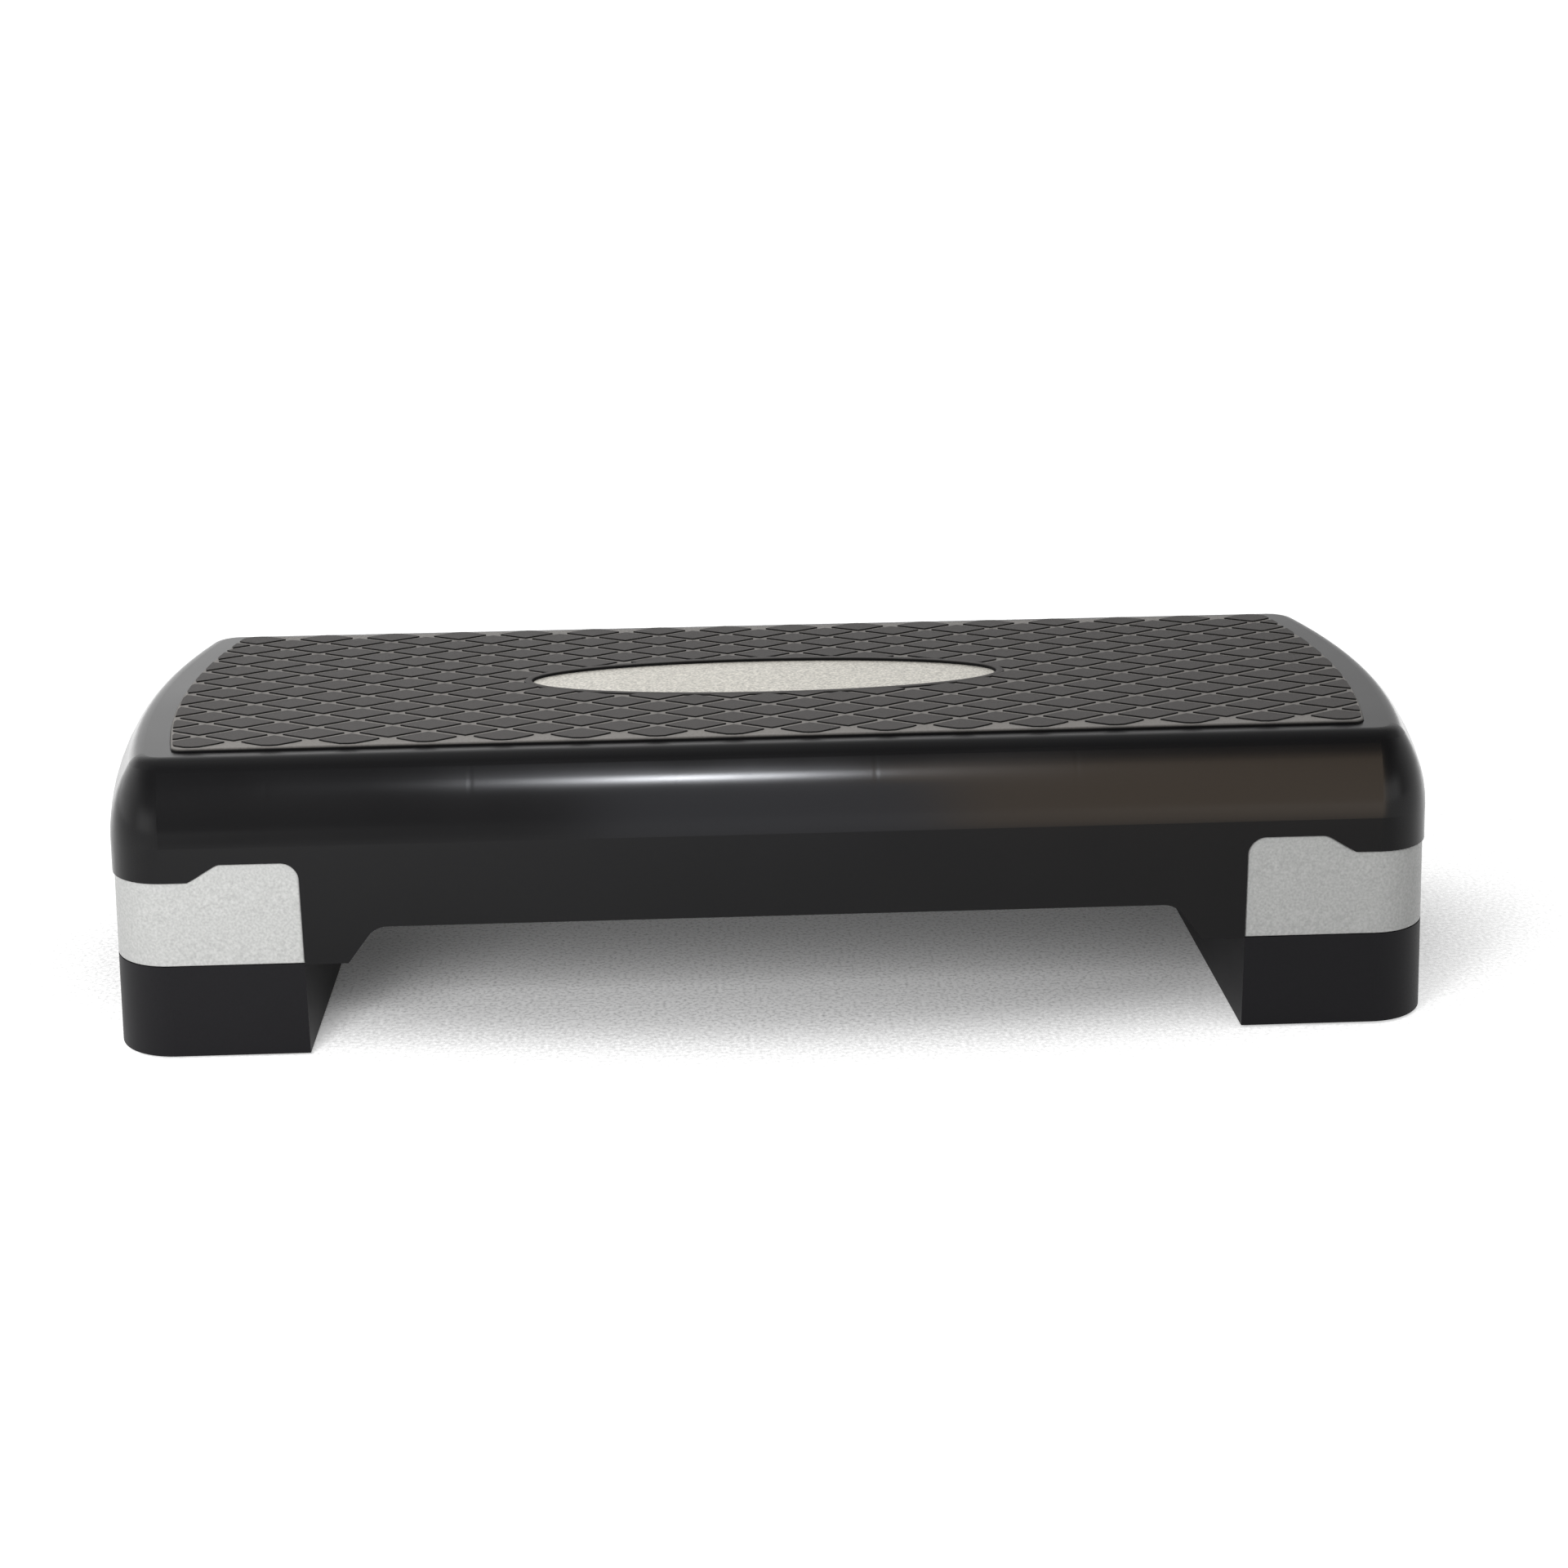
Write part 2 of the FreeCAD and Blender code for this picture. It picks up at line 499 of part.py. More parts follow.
for side, word in SIDES:
    seat_path = end_outline(new_sketch(deck, "seat_path_" + word), side, "0", "leg_inner - band_gap")
    seat_foot, seat_top = "riser_height - wall", "(lip_height + band_gap)"
    seat = polygon(new_sketch(deck, "seat_" + word, "YZ_Plane", "%d * (leg_inner - band_gap)" % side), (
        (front("-4 * skirt_proud"), seat_foot),
        (front("(%s) * %s + %s" % (seat_foot, TAPER, LINER_INSET)), seat_foot),
        (front("%s * %s + %s" % (seat_top, TAPER, LINER_INSET)), seat_top),
        (front("-4 * skirt_proud"), seat_top),
    ))
    run("cut", seat, seat_path)
    for sign, face in ((-1, "front"), (1, "back")):
        panel = new_sketch(deck, "panel_seat_%s_%s" % (face, word), "XZ_Plane", "%d * (half_depth - %s)" % (-sign, band_inner))
        polygon(panel, (
            ("%d * (leg_inner - band_gap)" % side, "lip_height - wall"),
            ("%d * (step_outer + band_gap)" % side, "lip_height - wall"),
            ("%d * (step_outer + band_gap)" % side, "lip_height + band_gap"),
            ("%d * (step_inner + band_gap)" % side, "band_shoulder + band_gap"),
            ("%d * (leg_inner - band_gap)" % side, "band_shoulder + band_gap", "band_corner"),
        ))
        pocket(panel, "2 * corner_radius", upwards=sign < 0)
    clip_slots = new_sketch(deck, "clip_slots_" + word, offset="clip_level - band_gap")
    wide, deep = "(clip_width / 2 + band_gap)", "(half_depth - corner_radius)"
    polygon(clip_slots, (
        ("%d * (clip_place - %s)" % (side, wide), "-half_depth"),
        ("%d * (clip_place + %s)" % (side, wide), "-half_depth"),
        ("%d * (clip_place + %s)" % (side, wide), "-half_depth + 5 * wall"),
        ("%d * (clip_place - %s)" % (side, wide), "-half_depth + 5 * wall"),
    ))
    polygon(clip_slots, (
        ("%d * (clip_place - %s)" % (side, wide), "half_depth"),
        ("%d * (clip_place + %s)" % (side, wide), "half_depth"),
        ("%d * (clip_place + %s)" % (side, wide), "half_depth - 5 * wall"),
        ("%d * (clip_place - %s)" % (side, wide), "half_depth - 5 * wall"),
    ))
    for sign in (-1, 1):
        near = "%d * (%s - 4 * wall)" % (side, end_place("clip_spread", "0"))
        polygon(clip_slots, (
            (near, "%d * clip_spread - %s" % (sign, wide)),
            ("%d * half_length" % side, "%d * clip_spread - %s" % (sign, wide)),
            ("%d * half_length" % side, "%d * clip_spread + %s" % (sign, wide)),
            (near, "%d * clip_spread + %s" % (sign, wide)),
        ))
    pocket(clip_slots, "clip_height + 2 * band_gap")
pocket(socket_bores, "plug_height + post_wall")
pocket(pad_seats, "pad_seat")
mat_recess = oval(new_sketch(deck, "mat_recess", offset="rim_height"), "mat_length + mat_gap", "mat_depth + mat_gap",
                  "mat_corner + mat_gap", "mat_end_radius + mat_gap")
pocket(mat_recess, "mat_seat", upwards=False)

# The bands: covers bent round the legs, with clips that reach through the inner wall of the leg.
for side, word in SIDES:
    band = new_piece("end_band_" + word)
    band_path = end_outline(new_sketch(band, "band_path_" + word), side, "0", "leg_inner")
    band_wall = polygon(new_sketch(band, "band_wall_" + word, "YZ_Plane", "%d * leg_inner" % side), (
        (front(SEAM_INSET), "riser_height + seam_gap"),
        (front(SEAM_INSET + " + band_thick"), "riser_height + seam_gap"),
        (front("band_shoulder * %s + band_thick" % TAPER), "band_shoulder"),
        (front("band_shoulder * %s" % TAPER), "band_shoulder"),
    ))
    run("joined", band_wall, band_path)
    drop = polygon(new_sketch(band, "drop_" + word, "XZ_Plane"), (
        ("%d * step_inner" % side, "band_shoulder"),
        ("%d * step_outer" % side, "lip_height"),
        ("%d * (half_length + wall)" % side, "lip_height"),
        ("%d * (half_length + wall)" % side, "band_shoulder + wall"),
        ("%d * step_inner" % side, "band_shoulder + wall"),
    ))
    pocket(drop, "4 * half_depth", both_ways=True)
    corner = polygon(new_sketch(band, "corner_" + word, "XZ_Plane"), (
        ("%d * (leg_inner - wall)" % side, "band_shoulder + wall"),
        ("%d * (leg_inner - wall)" % side, "band_shoulder - band_corner"),
        ("%d * leg_inner" % side, "band_shoulder - band_corner"),
        ("%d * leg_inner" % side, "band_shoulder", "band_corner - 0.01"),
        ("%d * (leg_inner + band_corner)" % side, "band_shoulder"),
        ("%d * (leg_inner + band_corner)" % side, "band_shoulder + wall"),
    ))
    pocket(corner, "4 * half_depth", both_ways=True)
    reach = "(%s * clip_level + band_thick + band_gap + wall + 1)" % TAPER
    root = "(%s * clip_level + band_thick / 2)" % TAPER
    clips = new_sketch(band, "clips_" + word, offset="clip_level")
    for sign in (-1, 1):
        polygon(clips, (
            ("%d * (clip_place - clip_width / 2)" % side, "%d * (half_depth - %s)" % (sign, root)),
            ("%d * (clip_place + clip_width / 2)" % side, "%d * (half_depth - %s)" % (sign, root)),
            ("%d * (clip_place + clip_width / 2)" % side, "%d * (half_depth - %s)" % (sign, reach)),
            ("%d * (clip_place - clip_width / 2)" % side, "%d * (half_depth - %s)" % (sign, reach)),
        ))
        edge = "(clip_spread + %d * clip_width / 2)"
        polygon(clips, (
            ("%d * %s" % (side, end_place(edge % 1, reach)), "%d * %s" % (sign, edge % -1)),
            ("%d * %s" % (side, end_place(edge % -1, root)), "%d * %s" % (sign, edge % -1)),
            ("%d * %s" % (side, end_place(edge % 1, root)), "%d * %s" % (sign, edge % 1)),
            ("%d * %s" % (side, end_place(edge % 1, reach)), "%d * %s" % (sign, edge % 1)),
        ))
    pad(clips, "clip_height")

# The risers: hollow blocks, open below, with plugs for the sockets of the legs.
for side, word in SIDES:
    riser = new_piece("riser_" + word)
    riser_path = end_outline(new_sketch(riser, "riser_path_" + word), side, "0", "leg_inner")
    riser_wall = polygon(new_sketch(riser, "riser_wall_" + word, "YZ_Plane", "%d * leg_inner" % side), (
        (front("pad_proud * %s" % TAPER), "pad_proud"),
        (front("pad_proud * %s + wall" % TAPER), "pad_proud"),
        (front(SEAM_INSET + " + wall"), "riser_height"),
        (front(SEAM_INSET), "riser_height"),
    ))
    run("joined", riser_wall, riser_path)
    web_inset = "(%s + 0.2 * wall)" % SEAM_INSET
    cover = end_outline(new_sketch(riser, "cover_" + word, offset="riser_height - wall"), side, web_inset, "leg_inner", True)
    pad(cover, "wall")
    inner_face = polygon(new_sketch(riser, "inner_face_" + word, offset="pad_proud"), (
        ("%d * leg_inner" % side, "-(half_depth - %s)" % web_inset),
        ("%d * (leg_inner + wall)" % side, "-(half_depth - %s)" % web_inset),
        ("%d * (leg_inner + wall)" % side, "half_depth - " + web_inset),
        ("%d * leg_inner" % side, "half_depth - " + web_inset),
    ))
    pad(inner_face, "riser_height - pad_proud - wall / 2")
    for count in range(-1, 2):
        rib_y = "(%d * long_rib_pitch)" % count
        far = end_place("(abs(%s) + rib)" % rib_y, web_inset)
        web = polygon(new_sketch(riser, "riser_rib_%d_%s" % (count + 2, word), offset="pad_proud + wall"), (
            ("%d * (leg_inner + wall / 2)" % side, "%s - rib / 2" % rib_y),
            ("%d * %s" % (side, far), "%s - rib / 2" % rib_y),
            ("%d * %s" % (side, far), "%s + rib / 2" % rib_y),
            ("%d * (leg_inner + wall / 2)" % side, "%s + rib / 2" % rib_y),
        ))
        pad(web, "riser_height - pad_proud - 1.5 * wall")
    webs = new_sketch(riser, "riser_webs_" + word, offset="pad_proud + wall")
    for spot in ("inner", "outer"):
        block(webs, "%d * pad_%s" % (side, spot), "0", "rib / 2", "half_depth - " + web_inset)
    pad(webs, "riser_height - pad_proud - 1.5 * wall")
    feet = new_sketch(riser, "feet_" + word, offset="pad_proud")
    foot_seats = new_sketch(riser, "foot_seats_" + word, offset="pad_proud")
    leg_bosses = new_sketch(riser, "leg_bosses_" + word, offset="riser_height - 2 * wall")
    leg_seats = new_sketch(riser, "leg_seats_" + word, offset="riser_height")
    for name, x, y in PADS:
        circle(feet, "%d * %s" % (side, x), y, "pad_radius + pad_gap + post_wall")
        circle(foot_seats, "%d * %s" % (side, x), y, "pad_radius + pad_gap")
        circle(leg_bosses, "%d * %s" % (side, x), y, "pad_radius + pad_room + post_wall")
        circle(leg_seats, "%d * %s" % (side, x), y, "pad_radius + pad_room")
    pad(feet, "pad_seat + 2 * post_wall")
    pad(leg_bosses, "1.5 * wall")
    plugs = new_sketch(riser, "plugs_" + word, offset="riser_height - wall / 2")
    plug_bores = new_sketch(riser, "plug_bores_" + word, offset="pad_proud")
    for y in ("-long_rib_pitch", "long_rib_pitch"):
        block(plugs, "%d * plug_place" % side, y, "plug_length / 2", "plug_width / 2")
        block(plug_bores, "%d * plug_place" % side, y, "plug_length / 2 - post_wall", "plug_width / 2 - post_wall")
    bind(pad(plugs, "plug_height + wall / 2"), "TaperAngle", "-plug_lead")
    pocket(plug_bores, "riser_height - pad_proud + plug_height - post_wall")
    pocket(foot_seats, "pad_seat")
    pocket(leg_seats, "pad_proud + pad_room", upwards=False)

# The tread mat: a sheet with a seat for the badge, a smooth ring round the seat, and a layer of diamonds.
mat = new_piece("tread_mat")
MAT_OUTLINE = ("mat_length", "mat_depth", "mat_corner", "mat_end_radius")
BADGE_SEAT = ("badge_length + badge_gap", "badge_depth + badge_gap")
RING_OUTLINE = ("badge_length + badge_gap + badge_ring", "badge_depth + badge_gap + badge_ring")
mat_sheet = oval(new_sketch(mat, "mat_sheet", offset="rim_height - mat_seat"), *MAT_OUTLINE)
pad(mat_sheet, "%s - rim_height + mat_seat" % BADGE_FLOOR)
mat_frame = oval(new_sketch(mat, "mat_frame", offset=BADGE_FLOOR), *MAT_OUTLINE)
ellipse(mat_frame, *BADGE_SEAT)
pad(mat_frame, "%s - %s" % (CHANNEL_FLOOR, BADGE_FLOOR))
ring = new_sketch(mat, "badge_ring_outline", offset=CHANNEL_FLOOR)
ellipse(ring, *RING_OUTLINE)
ellipse(ring, *BADGE_SEAT)
pad(ring, "tread_height")


def clipped(points, normal, reach):
    """The part of a convex outline that lies within reach of the origin along a normal."""
    kept = []
    for k, point in enumerate(points):
        before = points[k - 1]
        inside, was_inside = point.dot(normal) <= reach, before.dot(normal) <= reach
        if inside != was_inside:
            share = (reach - before.dot(normal)) / (point - before).dot(normal)
            kept.append(before + (point - before) * share)
        if inside:
            kept.append(point)
    return kept


def area(points):
    """The area of a closed outline."""
    return abs(sum(points[k - 1].x * point.y - point.x * points[k - 1].y for k, point in enumerate(points))) / 2


def diamonds():
    """Outlines of the tread pads: a staggered lattice, cut off at the plain border and in the ring round the badge."""
    long_step, cross_step = number("tread_long / 2"), number("tread_cross / 2")
    shrink = 1 - number("channel") / (2 * long_step * cross_step / math.hypot(long_step, cross_step))
    half_long, half_cross = long_step * shrink, cross_step * shrink
    far_x, far_y = number("mat_length - tread_border"), number("mat_depth - tread_border")
    bow = number("mat_end_radius - tread_border")
    ring_x, ring_y = (number("%s - badge_ring / 2" % reach) for reach in RING_OUTLINE)
    least = number("channel * channel")
    for column in range(-int(far_x / long_step) - 1, int(far_x / long_step) + 2):
        for row in range(-int(far_y / cross_step) - 1, int(far_y / cross_step) + 2):
            if (column + row) % 2:
                continue
            x, y = column * long_step, row * cross_step
            points = [Vector(x - half_long, y, 0), Vector(x, y - half_cross, 0), Vector(x + half_long, y, 0),
                      Vector(x, y + half_cross, 0)]
            points = clipped(clipped(points, Vector(0, 1, 0), far_y), Vector(0, -1, 0), far_y)
            for end in (1, -1):
                outward = Vector(end * math.sqrt(bow ** 2 - y ** 2), y, 0) / bow
                points = clipped(points, outward, bow + (far_x - bow) * end * outward.x)
            bearing = math.atan2(y / ring_y, x / ring_x)
            inward = Vector(-math.cos(bearing) / ring_x, -math.sin(bearing) / ring_y, 0)
            points = clipped(points, inward, -1)
            if len(points) > 2 and area(points) > least:
                yield points


tread = new_sketch(mat, "tread", offset=CHANNEL_FLOOR)
tread.addGeometry([Part.LineSegment(points[k - 1], points[k]) for points in diamonds() for k in range(len(points))
                   if points[k - 1].distanceToPoint(points[k]) > 0.01], False)
pad(tread, "tread_height")

badge = new_piece("badge_plate")
badge_outline = new_sketch(badge, "badge_outline", offset=BADGE_FLOOR)
ellipse(badge_outline, "badge_length", "badge_depth")
pad(badge_outline, "badge_thick")

# Rubber pads, four under each riser and four under each leg.
for side, word in SIDES:
    for kind, foot in (("riser_pad", "0"), ("deck_pad", "riser_height - pad_proud")):
        for name, x, y in PADS:
            rubber = new_piece("%s_%s_%s" % (kind, word, name))
            outline = new_sketch(rubber, rubber + "_outline", offset=foot)
            circle(outline, "%d * %s" % (side, x), y, "pad_radius")
            pad(outline, "pad_proud + pad_seat")

nodes = [assemble(piece) for piece in pieces]
doc.recompute()
for thing in doc.Objects:
    if "Invalid" in thing.State or "Error" in thing.State:
        raise RuntimeError("%s did not compute: %s" % (thing.Label, thing.State))
os.makedirs("parts", exist_ok=True)
for node in nodes:
    shape = node.Shape
    if shape.isNull() or not shape.isValid() or len(shape.Solids) != 1:
        raise RuntimeError("%s is not one valid solid" % node.Label)
    shape.exportStep("parts/%s.step" % node.Label)
    print(node.Label, "faces", len(shape.Faces), "volume", round(shape.Volume / 1000, 1))
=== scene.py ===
# %% [markdown]
# # Aerobic step platform
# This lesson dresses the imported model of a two-level exercise step: a black moulded deck, a rubber tread mat
# with an oval plate, light grey end covers, and two black risers. The solids come in as a fixed frame in
# metres, with the floor at zero, the front at -Y and the length along X. We rebuild the mat, the plate and
# the covers with soft edges, and add finishes, a camera, light and a floor.

# %% Load the frame
import json
import math

import bpy
import numpy as np
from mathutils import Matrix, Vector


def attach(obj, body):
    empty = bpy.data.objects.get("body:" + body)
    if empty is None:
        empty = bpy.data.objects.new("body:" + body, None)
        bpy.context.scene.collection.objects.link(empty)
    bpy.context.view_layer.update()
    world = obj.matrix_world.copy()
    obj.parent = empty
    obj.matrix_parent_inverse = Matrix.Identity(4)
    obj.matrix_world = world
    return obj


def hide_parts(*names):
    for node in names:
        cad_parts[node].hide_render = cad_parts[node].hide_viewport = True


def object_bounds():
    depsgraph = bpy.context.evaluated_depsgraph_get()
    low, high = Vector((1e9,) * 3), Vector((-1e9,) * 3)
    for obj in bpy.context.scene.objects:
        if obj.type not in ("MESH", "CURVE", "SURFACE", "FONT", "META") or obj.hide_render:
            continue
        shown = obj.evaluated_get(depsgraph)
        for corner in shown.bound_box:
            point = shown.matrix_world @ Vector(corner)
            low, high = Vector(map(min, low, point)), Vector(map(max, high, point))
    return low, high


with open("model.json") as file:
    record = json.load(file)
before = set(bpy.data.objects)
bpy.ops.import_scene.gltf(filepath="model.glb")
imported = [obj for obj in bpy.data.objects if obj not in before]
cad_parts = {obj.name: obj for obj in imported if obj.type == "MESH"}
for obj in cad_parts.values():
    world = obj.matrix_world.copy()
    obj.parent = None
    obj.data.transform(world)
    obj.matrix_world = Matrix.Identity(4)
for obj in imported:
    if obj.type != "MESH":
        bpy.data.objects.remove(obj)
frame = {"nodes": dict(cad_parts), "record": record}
nodes = frame["nodes"]
cad_box = [list(corner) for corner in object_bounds()]
print("solids:", len(nodes), "box:", cad_box)

# %% [markdown]
# ## Camera
# A photographer stood in front of the step, a little to the left, and looked slightly down. Lines that are
# parallel on the object give the viewing angles, and known lengths give the distance. We could aim with a
# constraint, but a matrix built from three axes keeps the small roll of the picture as well.

# %% Camera at the photograph's angle
PHOTO_PIXELS, FOCAL_PIXELS, SENSOR_WIDTH = 1920, 2947.6, 36.0
CAMERA_PLACE = np.array([-0.04109, -1.23453, 0.49297])
CAMERA_YAW = math.radians(2.343)
CAMERA_DROP = math.radians(18.083)
CAMERA_ROLL = math.radians(0.727)


def standing(place, right, up, back):
    """Matrix of a camera or lamp with its three axes at a place, in the order in which Blender reads it."""
    matrix = np.eye(4)
    matrix[:3] = np.column_stack([right, up, back, place])
    return matrix.T


def camera_matrix(place, yaw, drop, roll):
    """Matrix of a camera that looks along +Y, turned by yaw, dropped below level and rolled."""
    forward = np.array([math.sin(yaw) * math.cos(drop), math.cos(yaw) * math.cos(drop), -math.sin(drop)])
    level = np.array([math.cos(yaw), -math.sin(yaw), 0.0])
    down = np.cross(forward, level)
    right = math.cos(roll) * level + math.sin(roll) * down
    under = math.cos(roll) * down - math.sin(roll) * level
    return standing(place, right, -under, -forward)


camera_data = bpy.data.cameras.new("photo_camera")
camera_data.sensor_width = SENSOR_WIDTH
camera_data.sensor_fit = "HORIZONTAL"
camera_data.lens = FOCAL_PIXELS / PHOTO_PIXELS * SENSOR_WIDTH
camera = bpy.data.objects.new("photo_camera", camera_data)
bpy.context.scene.collection.objects.link(camera)
camera.matrix_world = camera_matrix(CAMERA_PLACE, CAMERA_YAW, CAMERA_DROP, CAMERA_ROLL)
bpy.context.scene.camera = camera
bpy.context.scene.view_settings.view_transform = "Standard"
print("lens:", round(camera_data.lens, 2), "mm")

# %% [markdown]
# ## From rings of points to a piece
# Every new piece here is a stack of closed rings: a profile carried round an outline, or a section carried
# along a path. Blender could sweep curves for this, but rings worked out in numpy let us round an edge
# exactly where the moulding has a radius. All lengths below are millimetres, and one helper turns them into a
# mesh in metres.

# %% Helpers for stacked rings
MM, CUBIC_CM = 0.001, 1e-6
SHARP_TURN = math.radians(32)


def ring_faces(rows, columns):
    """Four-sided faces between neighbouring rings, each closed on itself, and one face on each end ring."""
    index = np.arange(rows * columns).reshape(rows, columns)
    ahead = np.roll(index, -1, axis=1)
    sides = np.stack([index[:-1], ahead[:-1], ahead[1:], index[1:]], axis=-1).reshape(-1, 4)
    return sides.tolist() + [index[0, ::-1].tolist(), index[-1].tolist()]


def enclosed(mesh):
    """Volume inside a closed mesh in cubic centimetres, positive when its faces point outwards."""
    mesh.calc_loop_triangles()
    corners = np.empty(3 * len(mesh.loop_triangles), dtype=np.int32)
    mesh.loop_triangles.foreach_get("vertices", corners)
    places = np.empty(3 * len(mesh.vertices))
    mesh.vertices.foreach_get("co", places)
    a, b, c = places.reshape(-1, 3)[corners.reshape(-1, 3)].transpose(1, 0, 2)
    return np.einsum("ij,ij->", a, np.cross(b, c)) / 6 / CUBIC_CM


def new_piece(name, points, faces, body, slot_name, *replaced):
    """A mesh piece from points in millimetres, smooth except at sharp turns, that rides on a body."""
    mesh = bpy.data.meshes.new(name)
    mesh.from_pydata((points.reshape(-1, 3) * MM).tolist(), [], faces)
    mesh.shade_smooth()
    mesh.set_sharp_from_angle(angle=SHARP_TURN)
    piece = bpy.data.objects.new(name, mesh)
    bpy.context.scene.collection.objects.link(piece)
    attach(piece, body)
    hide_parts(*replaced)
    print(name, "faces:", len(mesh.polygons), "volume:", round(enclosed(mesh), 1), "cm3")
    return piece


# %% [markdown]
# ## The plan outline
# Seen from above, the step has straight long sides, rounded corners and gently bowed ends, and so have the
# mat and the covers. A bowed end is an arc of a large circle, and a small circle rolls from it into the long
# side. Describing the outline by the direction that it faces makes an even inset easy: move each point back
# along that direction.

# %% Outline of an oval with bowed ends
BODY = {"length": 340.0, "depth": 138.0, "corner": 32.0, "bow": 544.0}
MAT = {"length": 304.8, "depth": 107.6, "corner": 6.0, "bow": 470.0}


def corner_hub(length, depth, corner, bow):
    """Distance along X of a corner circle's middle; the circle touches the long side and the bowed end."""
    return length - bow + math.sqrt((bow - corner) ** 2 - (depth - corner) ** 2)


def bowed_end(length, depth, corner, bow, turn=8, across=64):
    """Points and facing directions round the right end, from -Y to +Y: corner arc, bow, corner arc."""
    hub = corner_hub(length, depth, corner, bow)
    swing = math.atan2(depth - corner, hub - length + bow)
    first = np.linspace(-math.pi / 2, -swing, turn, endpoint=False)
    middle = np.linspace(-swing, swing, across)
    facing = np.concatenate([first, middle, -first[::-1]])
    direction = np.stack([np.cos(facing), np.sin(facing)], axis=-1)
    on_bow = (np.abs(facing) <= swing)[:, None]
    middle_of_corner = np.stack([np.full_like(facing, hub), np.sign(facing) * (depth - corner)], axis=-1)
    centre = np.where(on_bow, (length - bow, 0.0), middle_of_corner)
    return centre + np.where(on_bow, bow, corner) * direction, direction


def plan_oval(length, depth, corner, bow, along=96):
    """Points and facing directions of the outline: front line and right end, then both turned half round."""
    hub = corner_hub(length, depth, corner, bow)
    front = np.stack([np.linspace(-hub, hub, along, endpoint=False), np.full(along, -depth)], axis=-1)
    end, end_facing = bowed_end(length, depth, corner, bow)
    half = np.concatenate([front, end[:-1]])
    half_facing = np.concatenate([np.tile((0.0, -1.0), (along, 1)), end_facing[:-1]])
    return np.concatenate([half, -half]), np.concatenate([half_facing, -half_facing])


def rounded_edge(radius, steps=5):
    """A quarter round from a piece's side to its top: how far in and how far below the top each step lies."""
    turn = np.linspace(0, math.pi / 2, steps)
    return np.stack([radius * (1 - np.cos(turn)), radius * (np.sin(turn) - 1)], axis=-1)


mat_line, mat_facing = plan_oval(**MAT)
print("mat outline:", len(mat_line), "points, reach", np.abs(mat_line).max(axis=0).round(1))

# %% [markdown]
# ## Tread mat
# The mat is one moulding of soft rubber. Its sheet lies in a shallow seat of the deck with a rounded edge,
# and a raised ring frames the oval plate. We could model half of it and mirror, but rings do the whole sheet
# at once: the first rows follow the outline, and the later ones follow the ellipse at the same bearings. A
# height mark on each vertex, 0 on the channel floor, 0.5 on a wall and 1 on a top, lets the finish tell these
# places apart later.

# %% Sheet and ring of the mat
SEAT_FLOOR, CHANNEL_FLOOR, TREAD_TOP, PLATE_FLOOR = 147.2, 150.3, 151.1, 148.5
PLATE_REACH = np.array([123.0, 32.0])
PLATE_GAP, RING_WIDTH = 0.5, 4.0
RING_REACH = PLATE_REACH + PLATE_GAP + RING_WIDTH
SHEET_EDGE, RING_EDGE = 1.1, 0.4
FLOOR_MARK, WALL_MARK, TOP_MARK = 0.0, 0.5, 1.0


def sheet_rows():
    """Rows of the mat's edge as inset, height and mark: up the wall and over to the channel floor."""
    edge = rounded_edge(SHEET_EDGE)
    marks = np.linspace(WALL_MARK, FLOOR_MARK, len(edge))
    over = np.column_stack([edge[:, 0], CHANNEL_FLOOR + edge[:, 1], marks])
    return np.concatenate([[(0.0, SEAT_FLOOR, WALL_MARK)], over])


def ring_rows():
    """Rows of the raised ring as inset, height and mark: up its outer wall, across, and down to the plate."""
    edge = rounded_edge(RING_EDGE)
    marks = np.linspace(WALL_MARK, TOP_MARK, len(edge))
    outer = np.column_stack([edge[:, 0], TREAD_TOP + edge[:, 1], marks])
    inner = outer[::-1] * (-1, 1, 1) + (RING_WIDTH, 0, 0)
    foot = [(-RING_EDGE, CHANNEL_FLOOR, FLOOR_MARK), (0.0, CHANNEL_FLOOR, WALL_MARK)]
    return np.concatenate([foot, outer, inner, [(RING_WIDTH, PLATE_FLOOR, WALL_MARK)]])


def ellipse_ring(reach, bearing):
    """Points of an ellipse whose half axes are given, at angles of its own parameter."""
    return np.stack([reach[..., 0] * np.cos(bearing), reach[..., 1] * np.sin(bearing)], axis=-1)


def stacked(flat, height):
    """Rings of flat points, each at one height: an array of rows by columns by three coordinates."""
    return np.concatenate([flat, np.broadcast_to(height[:, None, None], flat.shape[:2] + (1,))], axis=-1)


sheet = sheet_rows()
ring = ring_rows()
bearing = np.arctan2(mat_line[:, 1] / RING_REACH[1], mat_line[:, 0] / RING_REACH[0])
sheet_flat = mat_line - sheet[:, :1, None] * mat_facing
ring_flat = ellipse_ring((RING_REACH - ring[:, :1])[:, None, :], bearing)
mat_points = np.concatenate([stacked(sheet_flat, sheet[:, 1]), stacked(ring_flat, ring[:, 1])])
mat_marks = np.repeat(np.concatenate([sheet[:, 2], ring[:, 2]]), len(mat_line))
mat_faces = ring_faces(*mat_points.shape[:2])
print("mat sheet rows:", len(mat_points))

# %% [markdown]
# ## Tread pads
# Low diamonds in staggered rows give the foot its grip. Those at the border and at the ring are cut off, so
# no two edge pads are quite the same. A boolean cut would leave ragged meshes, so each pad is written as a
# polar curve: from a point inside, the reach in each direction is the nearest of the walls round the pad.
# Taking a high power mean in place of the plain minimum rounds the corners a little, as moulded rubber has
# them.

# %% Walls round each pad
LONG_STEP, CROSS_STEP, CHANNEL, BORDER = 18.85, 11.03, 3.6, 1.2
LEAST_REACH = 2.6


